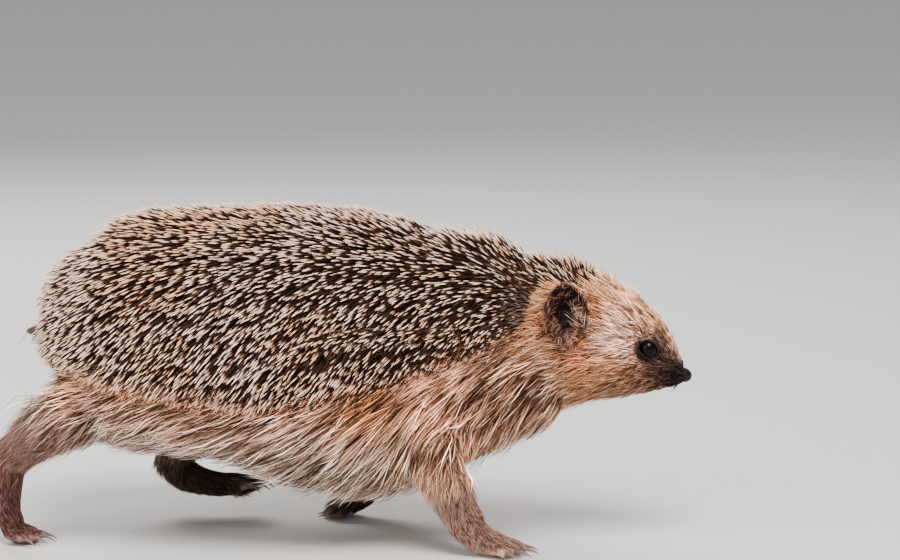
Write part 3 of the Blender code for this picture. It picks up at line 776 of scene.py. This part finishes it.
def write_plan(obj, outline):
    """Stores on the skin what the coat's trees and the skin's own colour read."""
    mesh = obj.data
    points = points_of(mesh)
    ups = unit(relax(ups_of(mesh), edges_of(mesh), 8, 0.5))
    plan = coat_plan(points, ups)
    soft = step(plan["reach"], *LONG_FUR_FROM) * (1 - near_ears(points))
    plan["reach"] = fitted_reach(mesh, outline, ups, plan)
    furred = (1 - plan["bare"]) * (1 - plan["cover"])
    ear = ear_places(points, ups_of(mesh))
    dress = (
        # part of the ear, way its hair lies, length in mm, lift, colour
        ("temple", (-0.62, 0.2, 0.8), 4.4, 0.30, "silver"),
        ("cups", (-0.6, 0.3, -0.5), 3.6, 0.45, "down"),
        ("rear", (-0.8, 0.3, -0.5), 3.4, 0.40, "rim"),
        ("crown", (-0.7, 0.3, -0.4), 3.2, 0.35, "rim"),
        ("lobe", (-0.5, 0.1, -1.0), 3.6, 0.30, "lobe"),
        ("tuft", (-0.62, 0.2, 0.8), 5.4, 0.42, "silver"),
        ("backs", (-0.45, 0.3, 1.0), 3.0, 0.22, "rim"),
        ("lip", (-1.0, 0.1, 0.25), 3.8, 0.14, "orange"),
    )
    for part, way, reach, lift, colour in dress:
        share = step(ear[part], 0.15, 0.65)
        way = flat_to(mirrored(np.tile(way, (len(points), 1)), points), ups)
        plan["lie"] = unit(mixed(plan["lie"], way, share))
        plan["reach"] = mixed(plan["reach"], reach * MM, share)
        plan["lift"] = mixed(plan["lift"], lift, share)
        plan["tint"] = mixed(plan["tint"], COLOURS[colour], share)
    no_lip = 1 - ear["lip"]
    # the cup's skin near black, its lobe and rear darkened too: partly their own dark colour and partly
    # painted shade deep in the cup
    cup_colour_and_shade = np.where((ear["lobe"] > 0.4)[:, None], COLOURS["lobe"] * 0.25, COLOURS["cup"])
    cup_colour_and_shade = mixed(cup_colour_and_shade, COLOURS["rim"] * 0.3, ear["rear"])
    plan["skin_tint"] = mixed(plan["tint"], cup_colour_and_shade, step(ear["cups"] * no_lip, 0.15, 0.65))
    plan["bare"] = np.maximum(plan["bare"], ear["cups"]) * (1 - 0.9 * ear["lip"])
    plan["up"] = ups
    plan["spine_cover"] = plan.pop("cover")
    in_cup = 0.10 + 0.20 * ear["tuft"] + 0.40 * ear["rear"] + 0.20 * ear["crown"] + 0.80 * ear["lobe"]
    hairy = furred * (1 - step(ear["cups"], 0.02, 0.2) * no_lip) + ear["cups"] * in_cup * no_lip
    plan["long_cover"] = hairy * soft
    plan["short_cover"] = hairy * (1 - soft)
    del plan["depth"]
    for name, values in plan.items():
        write_field(mesh, name, values)


# ---- node trees


class Value:
    """What comes out of a node. It adds, subtracts and multiplies as a number or a direction does."""

    def __init__(self, nodes, socket):
        self.nodes, self.socket = nodes, socket
        self.wide = socket.type == "VECTOR"

    def __add__(self, other):
        return self.nodes.math("ADD", self, other, wide=self.wide)

    def __sub__(self, other):
        return self.nodes.math("SUBTRACT", self, other, wide=self.wide)

    def __rsub__(self, other):
        return self.nodes.math("SUBTRACT", other, self)

    def __mul__(self, other):
        if self.wide:
            return self.nodes.out("ShaderNodeVectorMath", {0: self, 3: other}, operation="SCALE")
        return self.nodes.math("MULTIPLY", self, other)


class Nodes:
    """A node tree, built one node at a time."""

    def __init__(self, tree):
        self.tree, self.nodes, self.links = tree, tree.nodes, tree.links

    def add(self, kind, feeds=(), **settings):
        """A node with its settings, its inputs fed by number or name."""
        node = self.nodes.new(kind)
        for name, value in settings.items():
            setattr(node, name, value)
        for place, value in dict(feeds).items():
            if isinstance(value, Value):
                self.links.new(value.socket, node.inputs[place])
            else:
                node.inputs[place].default_value = value
        return node

    def out(self, kind, feeds=(), slot=0, **settings):
        return Value(self, self.add(kind, feeds, **settings).outputs[slot])

    def math(self, operation, *values, wide=False, slot=0):
        kind = "ShaderNodeVectorMath" if wide else "ShaderNodeMath"
        return self.out(kind, enumerate(values), slot, operation=operation)


COAT_INPUTS = {"Geometry": "Geometry", "Strand": "Object", "Material": "Material", "Cover": "String"}
COAT_INPUTS |= dict.fromkeys("Density Spacing Radius Length Lock_Density Gather Stray".split(), "Float")
COAT_INPUTS |= dict.fromkeys("Share Shares Seed".split(), "Int")
DIRECTIONS = "up lie spine_lie heading way towards root local flat_place OFBake".split()
# fields that only the coat's growing needs, and no material of the coat reads
GROWING_FIELDS = (
    "up lie reach lift bare skin_tint spine_lie spine_lift spine_size spine_pale spine_cover long_cover "
    "short_cover chance_2 chance_3 flat_place local heading size way towards rise"
).split()


class Tree(Nodes):
    """A Geometry Nodes tree with the coat's inputs."""

    def __init__(self, name):
        tree = bpy.data.node_groups.new(name, "GeometryNodeTree")
        for label, kind in COAT_INPUTS.items():
            tree.interface.new_socket(label, in_out="INPUT", socket_type=f"NodeSocket{kind}")
        tree.interface.new_socket("Geometry", in_out="OUTPUT", socket_type="NodeSocketGeometry")
        super().__init__(tree)
        outputs = self.add("NodeGroupInput").outputs
        self.given = {label: Value(self, outputs[label]) for label in COAT_INPUTS}

    def unit(self, vector):
        return self.math("NORMALIZE", vector, wide=True)

    def cross(self, first, second):
        return self.math("CROSS_PRODUCT", first, second, wide=True)

    def parts(self, vector):
        return [Value(self, part) for part in self.add("ShaderNodeSeparateXYZ", {0: vector}).outputs]

    def here(self):
        return self.out("GeometryNodeInputPosition")

    def read(self, name):
        kind = "FLOAT_VECTOR" if name in DIRECTIONS else "FLOAT"
        return self.out("GeometryNodeInputNamedAttribute", {0: name}, data_type=kind)

    def keep(self, geometry, kind=None, domain="POINT", **fields):
        """Stores fields on a geometry by name."""
        for name, value in fields.items():
            feeds = {0: geometry, 2: name, 3: value}
            settings = {"data_type": kind or ("FLOAT_VECTOR" if value.wide else "FLOAT"), "domain": domain}
            geometry = self.out("GeometryNodeStoreNamedAttribute", feeds, **settings)
        return geometry

    def chance(self, low, high, seed):
        return self.out("FunctionNodeRandomValue", {2: low, 3: high, 8: seed}, 1, data_type="FLOAT")

    def turned(self, vector, axis, angle):
        return self.out("ShaderNodeVectorRotate", {0: vector, 2: axis, 3: angle}, rotation_type="AXIS_ANGLE")


def start_coat(tree, method):
    """Roots on the skin, thinned to one share, with their place and chance numbers stored."""
    given = tree.given
    feeds = {0: given["Geometry"], 6: given["Seed"]}
    cover = tree.out("GeometryNodeInputNamedAttribute", {0: given["Cover"]}, data_type="FLOAT")
    if method == "POISSON":
        feeds |= {"Distance Min": given["Spacing"], "Density Max": given["Density"], "Density Factor": cover}
    else:
        feeds["Density"] = cover * given["Density"]
    roots = tree.out("GeometryNodeDistributePointsOnFaces", feeds, distribute_method=method)
    share = tree.math("FLOORED_MODULO", tree.out("GeometryNodeInputIndex"), given["Shares"])
    feeds = {0: share, 1: given["Share"]}
    other = tree.out("FunctionNodeCompare", feeds, data_type="FLOAT", operation="NOT_EQUAL")
    for name, seed in (("chance", 11), ("chance_2", 12), ("chance_3", 13)):
        roots = tree.keep(roots, **{name: tree.chance(0.0, 1.0, seed)})
    roots = tree.out("GeometryNodeDeleteGeometry", {0: roots, 1: other}, domain="POINT")
    roots = tree.keep(roots, flat_place=tree.read("OFBake"))
    roots = tree.out("GeometryNodeRemoveAttribute", {0: roots, 1: "OFBake"})
    return tree.keep(roots, root=tree.here())


def plant(tree, roots):
    """A strand at each root, as real mesh, with its own shape stored as local."""
    rod = tree.out("GeometryNodeObjectInfo", {0: tree.given["Strand"]}, "Geometry")
    planted = tree.out("GeometryNodeInstanceOnPoints", {0: roots, 2: tree.keep(rod, local=tree.here())})
    return tree.out("GeometryNodeRealizeInstances", {0: planted})


def end_coat(tree, geometry, centre, side, over, radius, paler=0.0):
    """Sets each vertex beside its strand's centre line, and lays the strand's patch on the flat map."""
    x, y, along = tree.parts(tree.read("local"))
    place = centre + side * (x * radius) + over * (y * radius)
    geometry = tree.keep(geometry, along=along + paler)
    geometry = tree.out("GeometryNodeSetPosition", {0: geometry, 2: place})
    corner = tree.out("ShaderNodeCombineXYZ", {0: x * (0.5 * PATCH), 1: along * PATCH - 0.5 * PATCH})
    geometry = tree.keep(geometry, "FLOAT2", "CORNER", OFBake=tree.read("flat_place") + corner)
    painted = tree.out("GeometryNodeSetMaterial", {0: geometry, 2: tree.given["Material"]})
    tree.add("NodeGroupOutput", {0: painted})
    return tree.tree


def spine_tree():
    """Stiff straight spines, each leaning at its own angle to the skin."""
    tree = Tree("spine coat")
    given, read = tree.given, tree.read
    roots = start_coat(tree, "POISSON")
    up = read("up")
    way = tree.turned(read("spine_lie"), up, (read("chance_2") - 0.5) * given["Stray"])
    tilt = (read("chance_3") - 0.5) * given["Stray"]
    raised = tree.math("POWER", read("chance_3"), 14.0) * 1.1
    lift = read("spine_lift") + tilt * 0.45 + raised * (1.0 - read("spine_size"))
    heading = tree.unit(way * tree.math("COSINE", lift) + up * tree.math("SINE", lift))
    size = given["Length"] * (read("chance") * 0.22 + 0.86) * read("spine_size")
    geometry = plant(tree, tree.keep(roots, heading=heading, size=size))
    heading = read("heading")
    centre = read("root") + heading * (tree.parts(read("local"))[2] * read("size"))
    side = tree.unit(tree.cross(up, heading))
    over = tree.cross(heading, side)
    radius = given["Radius"] * read("spine_size")
    return end_coat(tree, geometry, centre, side, over, radius, read("spine_pale"))


def fur_tree():
    """Fine hair that rises from the skin, bends over along it, and gathers into locks."""
    tree = Tree("fur coat")
    given, read, math_of = tree.given, tree.read, tree.math
    skin = given["Geometry"]
    roots = start_coat(tree, "RANDOM")
    feeds = {0: skin, "Density": given["Lock_Density"], 6: 5}
    locks = tree.out("GeometryNodeDistributePointsOnFaces", feeds, distribute_method="RANDOM")
    locks = tree.keep(locks, lock_a=tree.chance(-1.0, 1.0, 21), lock_b=tree.chance(0.0, 1.0, 22))
    here = tree.here()
    nearest = tree.out("GeometryNodeSampleNearest", {0: locks, 1: here}, domain="POINT")

    def of_lock(value):
        settings = {"data_type": "FLOAT_VECTOR" if value.wide else "FLOAT", "domain": "POINT"}
        return tree.out("GeometryNodeSampleIndex", {0: locks, 1: value, 2: nearest}, **settings)

    # each hair's direction, length and rise, partly its own and partly its lock's
    up = read("up")
    lock_b = of_lock(read("lock_b"))
    yaw = (of_lock(read("lock_a")) * 0.55 + (read("chance_2") - 0.5)) * given["Stray"]
    way = tree.turned(tree.unit(read("lie")), up, yaw)
    size = read("reach") * given["Length"] * (read("chance") * 0.4 + 0.7) * (lock_b * 0.3 + 0.85)
    rise = read("lift") * (read("chance_3") * 0.8 + 0.6) * (lock_b * 0.5 + 0.8)
    roots = tree.keep(roots, way=way, towards=of_lock(here) - here, size=size, rise=rise, lock=lock_b)
    geometry = plant(tree, roots)
    # the hair's line, before it is laid over the skin's bends
    along = tree.parts(read("local"))[2]
    size, way = read("size"), read("way")
    side = tree.unit(tree.cross(up, way))
    bend = along * (along * -0.5 + 1.0)
    height = size * read("rise") * (bend * 2.0)
    gather = math_of("POWER", along, 1.4) * given["Gather"]
    wave = math_of("SINE", along * 5.0 + read("chance_2") * 12.0) * along * (size * 0.03)
    straight = read("root") + way * (size * along) + read("towards") * gather + side * wave
    # over the skin at its height, and never under the floor
    near = tree.out("GeometryNodeProximity", {0: skin, 2: straight}, target_element="FACES")
    feeds = {0: skin, 1: up, 3: straight}
    up_there = tree.unit(tree.out("GeometryNodeSampleNearestSurface", feeds, data_type="FLOAT_VECTOR"))
    above = math_of("DOT_PRODUCT", straight - near, up_there, wide=True, slot=1)
    cling = math_of("MAXIMUM", above, 0.0) * 0.65
    x, y, z = tree.parts(near + up_there * (cling + (height + given["Radius"])))
    centre = tree.out("ShaderNodeCombineXYZ", {0: x, 1: y, 2: math_of("MAXIMUM", z, FLOOR_GAP)})
    return end_coat(tree, geometry, centre, side, up, given["Radius"] * (read("chance") * 0.7 + 0.6))


def strand(name, sides, rings):
    """A closed, pointed rod one unit long along Z. Rings are (height, width), and the last is the tip."""
    bm = bmesh.new()
    rows = []
    for height, width in rings[:-1]:
        rows.append(ring_of(bm, Vector((0, 0, height)), Vector((width, 0, 0)), Vector((0, width, 0)), sides))
    tip = bm.verts.new((0.0, 0.0, rings[-1][0]))
    bm.faces.new(rows[0][::-1])
    bridge(bm, rows)
    close(bm, rows[-1], tip)
    return link(finished(bm, name), name)


def grow(tree, skin, name, slot, **values):
    """Grows one coat piece on the skin with a tree and its inputs, as a plain mesh."""
    carrier = link(skin.data, name)
    modifier = carrier.modifiers.new("coat", "NODES")
    modifier.node_group = tree
    for item in tree.interface.items_tree:
        if item.in_out == "INPUT" and item.name.lower() in values:
            modifier[item.identifier] = values[item.name.lower()]
    mesh = evaluated(carrier)
    for field in GROWING_FIELDS:
        if field in mesh.attributes:
            mesh.attributes.remove(mesh.attributes[field])
    mesh.name = name
    mesh.shade_smooth()
    place_piece(carrier, None, slot)


# ---- materials


class Paint(Nodes):
    """A material's nodes, built one at a time."""

    def __init__(self, name, **settings):
        self.material = bpy.data.materials.new(name)
        self.material.use_nodes = True
        super().__init__(self.material.node_tree)
        self.shader = self.nodes["Principled BSDF"]
        for label, value in settings.items():
            self.shader.inputs[label.replace("_", " ")].default_value = value

    def field(self, name, output="Fac"):
        return self.out("ShaderNodeAttribute", slot=output, attribute_name=name)

    def mix(self, factor, a, b, blend="MIX"):
        return self.out("ShaderNodeMix", {0: factor, 6: a, 7: b}, 2, data_type="RGBA", blend_type=blend)

    def times(self, a, b, strength=1.0):
        return self.mix(strength, a, b, "MULTIPLY")

    def ramp(self, value, *stops):
        """A colour for each value, from stops of a position and its red, green and blue."""
        node = self.add("ShaderNodeValToRGB", {0: value})
        ramp = node.color_ramp
        while len(ramp.elements) < len(stops):
            ramp.elements.new(1.0)
        for element, (position, *colour) in zip(ramp.elements, stops):
            element.position = position
            element.color = (*colour, 1.0)
        return Value(self, node.outputs[0])

    def noise(self, scale, detail=3.0):
        feeds = {"Scale": scale, "Detail": detail, "Vector": self.out("ShaderNodeTexCoord", slot="Object")}
        return self.out("ShaderNodeTexNoise", feeds, "Fac")

    def bump(self, height, strength, distance):
        feeds = {"Strength": strength, "Distance": distance, "Height": height}
        self.links.new(self.out("ShaderNodeBump", feeds).socket, self.shader.inputs["Normal"])

    def finish(self, colour):
        self.links.new(colour.socket, self.shader.inputs["Base Color"])
        return self.material


# Each shade is a list of stops, a position and a colour, for one thing that a hair's colour hangs on.
LONG_SHADES = {
    "width": 0.66,  # of a streak of hairs of one shade, in mm
    # roots: darker towards the root, partly the hair's own colour and partly painted shade deep in the coat
    "roots": (
        (0.0, 0.10, 0.06, 0.045), (0.25, 0.30, 0.21, 0.17), (0.58, 0.92, 0.87, 0.84), (1.0, 1.12, 1.14, 1.16),
    ),
    "streaks": (
        (0.0, 0.10, 0.060, 0.042), (0.28, 0.22, 0.145, 0.105), (0.44, 0.80, 0.66, 0.56),
        (0.66, 1.04, 0.98, 0.94), (1.0, 2.10, 2.24, 2.36),
    ),
    "hairs": (
        (0.0, 0.22, 0.155, 0.12), (0.24, 0.50, 0.42, 0.36), (0.42, 0.93, 0.90, 0.88),
        (0.84, 1.10, 1.10, 1.10), (0.90, 1.80, 1.92, 2.0),
    ),
    "locks": (
        (0.0, 0.20, 0.145, 0.115), (0.26, 0.50, 0.43, 0.385), (0.50, 1.00, 0.99, 0.98),
        (1.0, 1.20, 1.23, 1.26),
    ),
}
SHORT_SHADES = {
    "width": 0.50,
    # roots: darker towards the root, partly the hair's own colour and partly painted shade deep in the coat
    "roots": (
        (0.0, 0.12, 0.07, 0.05), (0.28, 0.30, 0.20, 0.16), (0.60, 0.93, 0.88, 0.85), (1.0, 1.30, 1.32, 1.34),
    ),
    "streaks": (
        (0.0, 0.28, 0.18, 0.135), (0.28, 0.52, 0.39, 0.31), (0.52, 1.00, 0.95, 0.91), (1.0, 1.36, 1.44, 1.52),
    ),
    "hairs": (
        (0.0, 0.06, 0.035, 0.024), (0.22, 0.20, 0.12, 0.085), (0.42, 0.82, 0.67, 0.57),
        (0.74, 1.10, 1.03, 0.98), (1.0, 1.62, 1.70, 1.78),
    ),
    "locks": ((0.0, 0.80, 0.76, 0.73), (0.50, 1.00, 1.00, 1.00), (1.0, 1.10, 1.11, 1.12)),
}


def fur_paint(name, shades):
    """Hair dark at its root, partly its own colour and partly painted shade deep in the coat, in fine streaks
    of one shade, some nearly white and some dark brown.
    """
    paint = Paint(name, Roughness=0.5, Specular_IOR_Level=0.3)
    feeds = {"Vector": paint.field("root", "Vector"), "Scale": 1.0 / (shades["width"] * MM)}
    cell = paint.out("ShaderNodeTexVoronoi", feeds, "Color")
    streak = paint.out("ShaderNodeSeparateColor", {0: cell})
    varied = 1.0 - paint.field("even") * 0.7
    colour = paint.field("tint", "Color")
    for value, part, strength in (
        (paint.field("along"), "roots", 1.0),
        (streak, "streaks", varied),
        (paint.field("chance"), "hairs", varied),
        (paint.field("lock"), "locks", varied),
    ):
        colour = paint.times(colour, paint.ramp(value, *shades[part]), strength)
    return paint.finish(colour)


def spine_paint():
    """Horn, cream at the root, nearly black above the middle and cream at the tip."""
    paint = Paint("spine horn", Roughness=0.5, Specular_IOR_Level=0.16)
    chance = paint.field("chance")
    ring = (0.034, 0.0145, 0.0085)
    colour = paint.ramp(
        paint.field("along") + (chance - 0.5) * 0.08,
        (0.0, 0.10, 0.06, 0.045), (0.38, 0.32, 0.23, 0.175), (0.50, *ring), (0.825, *ring),
        (0.868, 0.44, 0.26, 0.18), (0.900, 1.05, 0.77, 0.61), (1.0, 1.08, 0.83, 0.68),
    )
    own = paint.ramp(
        chance,
        (0.0, 0.80, 0.50, 0.34), (0.14, 0.78, 0.62, 0.50), (0.30, 0.95, 0.90, 0.85), (1.0, 1.02, 1.02, 1.02),
    )
    rusty = paint.ramp(paint.noise(26.0, 2.0), (0.52, 1.0, 1.0, 1.0), (0.68, 1.0, 0.84, 0.69))
    colour = paint.times(paint.times(colour, own), rusty)
    some = paint.ramp(chance, (0.35, 0.0, 0.0, 0.0), (0.60, 1.0, 1.0, 1.0))
    return paint.finish(paint.times(colour, (0.86, 0.58, 0.38, 1.0), paint.field("spine_rust") * some))


def skin_paint():
    """Skin with painted shade: darkened under the fur and near black under the spines, with its own colour
    where it is bare.
    """
    paint = Paint("skin", Roughness=0.7, Specular_IOR_Level=0.12)
    tint = paint.field("skin_tint", "Color")
    mottle = paint.ramp(paint.noise(900.0, 4.0), (0.3, 0.75, 0.70, 0.68), (0.7, 1.1, 1.05, 1.0))
    # painted shade: the skin under the fur is darkened, so that gaps in the coat read as shade
    under = paint.times(tint, (0.24, 0.17, 0.15, 1.0))
    colour = paint.mix(paint.field("bare"), under, paint.times(tint, mottle))
    paint.bump(paint.noise(1600.0, 5.0), 0.5, 0.0004)
    # painted shade: the skin under the spines is near black, for the dark gaps between them
    return paint.finish(paint.mix(paint.field("spine_cover"), colour, (0.020, 0.011, 0.008, 1.0)))


def nose_paint():
    """Moist black leather with a fine pebbled grain."""
    paint = Paint("nose leather", Roughness=0.32, Specular_IOR_Level=0.13)
    paint.bump(paint.noise(5000.0), 0.4, 0.0002)
    black, blacker = (0.010, 0.007, 0.007, 1.0), (0.005, 0.004, 0.004, 1.0)
    return paint.finish(paint.mix(paint.noise(2500.0), black, blacker))


def eye_paint():
    """Nearly black, with a faint brown cloud in it, under a wet gloss."""
    paint = Paint("eye", Roughness=0.08, Specular_IOR_Level=0.12)
    black, brown = (0.0010, 0.0007, 0.0006, 1.0), (0.0030, 0.0018, 0.0012, 1.0)
    return paint.finish(paint.mix(paint.noise(500.0), black, brown))


def tapered_paint(name, roughness, *stops):
    """Horn or hair that changes from its root to its tip."""
    paint = Paint(name, Roughness=roughness)
    return paint.finish(paint.ramp(paint.field("along"), *stops))


# ---- eyes, nose, whiskers and claws


def ball(name, segments, rings):
    bm = bmesh.new()
    bmesh.ops.create_uvsphere(bm, u_segments=segments, v_segments=rings, radius=1.0)
    return link(finished(bm, name), name)


def make_eyes():
    material = eye_paint()
    for side_name, side in SIDES:
        eye = ball(f"eyeball_{side_name}", 48, 32)
        centre = head_place(EYE_ALONG, side * EYE_OUT, EYE_UP)
        eye.data.transform(Matrix.Translation(centre) @ Matrix.Scale(EYE_RADIUS * MM, 4))
        place_piece(eye, material, "eye", f"eye_{side_name}")


def make_nose():
    """A moist, blunt nose with a groove down its middle and a comma-shaped nostril on each side."""
    nose = ball("nose_pad", 64, 48)
    points = points_of(nose.data)
    size = 1.0 - 0.10 * bell(points[:, 1], 0.0, 0.10) * step(points[:, 0], 0.1, 0.6)
    for ahead, out, up, depth, width in ((0.72, 0.50, -0.05, 0.34, 0.26), (0.45, 0.80, 0.10, 0.18, 0.20)):
        for _, side in SIDES:
            size -= depth * bell(length(points - np.array((ahead, side * out, up))), 0.0, width)
    points *= size[:, None]
    points[:, 0] *= np.where(points[:, 0] > 0, 0.92, 1.0)
    put_points(nose.data, points)
    place = Matrix.Translation(head_place(52.8, 0.0, 0.6)) @ Matrix.Rotation(HEAD_PITCH, 4, "Y")
    nose.data.transform(place @ Matrix.Diagonal((3.3 * MM, 3.2 * MM, 2.6 * MM, 1.0)))
    place_piece(nose, nose_paint(), "nose", "nose")


WHISKERS = (
    # along the head, up from its axis, length, rise of the tip
    (47.0, 2.0, 13.0, 0.20), (45.5, 0.4, 15.0, 0.02), (46.5, -1.2, 13.0, -0.20),
    (43.5, 1.8, 18.0, 0.16), (42.6, -0.2, 20.0, -0.04), (43.4, -2.0, 17.0, -0.28),
    (40.4, 1.0, 21.0, 0.06), (39.6, -1.4, 22.0, -0.16), (40.6, -3.2, 18.0, -0.38),
    (34.0, 11.6, 13.0, 0.75), (31.5, 11.0, 11.0, 0.85),
)
WHISKER_RADIUS = 0.065 * MM


def whisker(bm, flat, along_layer, skin, tree, row, side):
    """One whisker: a thin tapered hair that sweeps back as it leaves the skin."""
    sides, joints = 4, 9
    along, up, reach, rise = row
    root, normal, face, _ = tree.find_nearest(head_place(along, side * 16.0, up))
    corner = skin.data.uv_layers["OFBake"].data[skin.data.polygons[face].loop_start].uv
    start = (normal * 0.9 + HEAD_UP * rise * 0.5 - HEAD_AHEAD * 0.3).normalized()
    end = (normal * 0.35 + HEAD_UP * rise - HEAD_AHEAD * 0.9).normalized()
    rows, centre = [], root - normal * 0.2 * MM
    for joint in range(joints):
        share = joint / (joints - 1)
        heading = start.lerp(end, share**0.7).normalized()
        aside = heading.cross(HEAD_UP).normalized()
        width = WHISKER_RADIUS * (1 - share * 0.85)
        rows.append(ring_of(bm, centre, aside * width, aside.cross(heading) * width, sides))
        for vertex in rows[-1]:
            vertex[along_layer] = share
        centre = centre + heading * reach * MM / (joints - 1)
    for face in [bm.faces.new(rows[0][::-1]), bm.faces.new(rows[-1]), *bridge(bm, rows)]:
        for loop in face.loops:
            turn = (loop.vert.co - root).dot(HEAD_UP) / (reach * MM)
            share = loop.vert[along_layer]
            loop[flat].uv = (corner[0] + PATCH * 0.5 * turn, corner[1] + PATCH * (share - 0.5))


def make_whiskers(skin):
    """Whiskers on the muzzle and over each eye."""
    tree = surface_tree(skin.data)
    bm = bmesh.new()
    flat = bm.loops.layers.uv.new("OFBake")
    along_layer = bm.verts.layers.float.new("along")
    for _, side in SIDES:
        for row in WHISKERS:
            whisker(bm, flat, along_layer, skin, tree, row, side)
    bmesh.ops.recalc_face_normals(bm, faces=bm.faces)
    stops = (0.0, 0.03, 0.018, 0.014), (0.45, 0.06, 0.04, 0.03), (1.0, 0.16, 0.12, 0.10)
    place_piece(link(finished(bm, "whiskers"), "whiskers"), tapered_paint("whisker", 0.45, *stops), "fur")


def claw_line(node, foot):
    """The middle line of a claw's CAD solid, from the toe to the point."""
    points = points_of(NODES[node].data)
    heart = np.array(centre_of(foot))
    middle = points.mean(0)
    axis = np.linalg.svd(points - middle, full_matrices=False)[2][0]
    along = (points - middle) @ axis
    far, near = middle + axis * along.max(), middle + axis * along.min()
    if np.linalg.norm(far - heart) < np.linalg.norm(near - heart):
        along = -along
    low, high = along.min(), along.max()
    stations = []
    for share in (0.0, 0.35, 0.7, 1.0):
        close_by = np.argsort(np.abs(along - (low + share * (high - low))))[:5]
        stations.append(Vector(points[close_by].mean(0)))
    return stations


def make_claw(node, material):
    """A slim hooked claw over a claw's solid."""
    sides, rings = 12, 12
    stations = claw_line(node, node.split("_claw")[0])
    bm = bmesh.new()
    rows = []
    for ring in range(rings):
        spot = ring / rings * (len(stations) - 1)
        i = min(int(spot), len(stations) - 2)
        centre = stations[i].lerp(stations[i + 1], spot - i)
        heading = (stations[i + 1] - stations[i]).normalized()
        aside = heading.cross(Vector((0, 0, 1))).normalized()
        width = 0.80 * MM * (1 - ring / rings) ** 0.75 + 0.04 * MM
        rows.append(ring_of(bm, centre, aside * width * 0.8, aside.cross(heading) * width, sides))
    tip = bm.verts.new(stations[-1])
    bm.faces.new(rows[0])
    bridge(bm, rows)
    close(bm, rows[-1], tip)
    bmesh.ops.recalc_face_normals(bm, faces=bm.faces)
    claw = link(finished(bm, f"{node}_horn"), f"{node}_horn")
    write_field(claw.data, "along", np.append(np.repeat(np.arange(rings) / rings, sides), 1.0))
    place_piece(claw, material, "claw", node)


# ---- stage


def make_stage():
    reach = 30.0
    corners = ((-reach, -reach, 0), (reach, -reach, 0), (reach, reach, 0), (-reach, reach, 0))
    floor_mesh = bpy.data.meshes.new("floor")
    floor_mesh.from_pydata(corners, (), ((0, 1, 2, 3),))
    paint = Paint("floor", Roughness=0.9, Base_Color=(0.66, 0.65, 0.63, 1.0))
    floor_mesh.materials.append(paint.material)
    link(floor_mesh, "floor")
    world = bpy.data.worlds.new("studio")
    world.use_nodes = True
    background = world.node_tree.nodes["Background"].inputs
    background["Color"].default_value = (0.88, 0.89, 0.90, 1.0)
    background["Strength"].default_value = 0.60
    bpy.context.scene.world = world
    for name, place, size, power in (
        ("key", (0.25, -0.75, 1.25), 0.75, 34.0),
        ("fill", (-0.9, -0.9, 0.6), 0.9, 10.0),
        ("rim", (-0.4, 0.9, 0.9), 0.7, 13.0),
    ):
        light = bpy.data.lights.new(name, "AREA")
        light.size = size
        light.energy = power
        lamp = link(light, name)
        lamp.location = place
        aim = Vector((0.03, 0.0, 0.06)) - Vector(place)
        lamp.rotation_euler = aim.to_track_quat("-Z", "Y").to_euler()


def make_camera():
    turn, rise, apart = math.radians(4.5), math.radians(7.3), 1.249
    aim = MIDDLE + Vector((55.5 * MM, 0.0, 96.2 * MM))
    back = Vector((math.sin(turn) * math.cos(rise), -math.cos(turn) * math.cos(rise), math.sin(rise)))
    camera = bpy.data.cameras.new("camera")
    camera.lens = 135.0
    viewer = link(camera, "camera")
    viewer.location = aim + back * apart
    viewer.rotation_euler = (math.pi / 2 - rise, 0.0, turn)
    bpy.context.scene.camera = viewer


def make_coat(skin):
    """The three sets of strands, each in pieces that share them out."""
    spine_rod = strand("spine_rod", 5, ((0.0, 0.7), (0.40, 1.0), (0.84, 0.92), (0.95, 0.60), (1.0, 0.0)))
    hair_rod = strand("hair_rod", 3, ((0.0, 0.8), (0.35, 1.0), (0.72, 0.75), (1.0, 0.0)))
    short_rod = strand("short_rod", 3, ((0.0, 1.0), (0.5, 0.8), (1.0, 0.0)))
    fur = fur_tree()
    spine_values = {
        "strand": spine_rod, "material": spine_paint(), "cover": "spine_cover", "density": 4e6, "seed": 3,
        "spacing": SPINE_SPACING, "radius": SPINE_RADIUS, "length": SPINE_LENGTH, "stray": 0.35,
    }
    long_values = {
        "strand": hair_rod, "material": fur_paint("long fur", LONG_SHADES), "cover": "long_cover",
        "density": 1.2e6, "radius": LONG_HAIR_RADIUS, "length": 1.0, "stray": 0.30, "seed": 7,
        "lock_density": 0.14e6, "gather": 0.70,
    }
    short_values = {
        "strand": short_rod, "material": fur_paint("short fur", SHORT_SHADES), "cover": "short_cover",
        "density": 4.2e6, "radius": SHORT_HAIR_RADIUS, "length": 1.15, "stray": 0.55, "seed": 9,
        "lock_density": 0.5e6, "gather": 0.30,
    }
    for name, slot, shares, tree, values in (
        ("spines", "spines", 3, spine_tree(), spine_values),
        ("long_fur", "fur", 4, fur, long_values),
        ("short_fur", "fur", 3, fur, short_values),
    ):
        for share in range(shares):
            grow(tree, skin, f"{name}_{share + 1}", slot, share=share, shares=shares, **values)
    for rod in (spine_rod, hair_rod, short_rod):
        bpy.data.objects.remove(rod)


def main():
    make_camera()
    make_stage()
    skin, outline = make_skin()
    unwrap(skin)
    write_plan(skin, outline)
    skin.data.materials.append(skin_paint())
    make_coat(skin)
    place_piece(skin, None, "bare_skin", *FLESH, "ear_right", "ear_left")
    make_whiskers(skin)
    make_eyes()
    make_nose()
    stops = (0.0, 0.10, 0.06, 0.05), (0.5, 0.17, 0.11, 0.085), (1.0, 0.28, 0.20, 0.15)
    claw_horn = tapered_paint("claw horn", 0.38, *stops)
    for node in CLAWS:
        make_claw(node, claw_horn)


main()
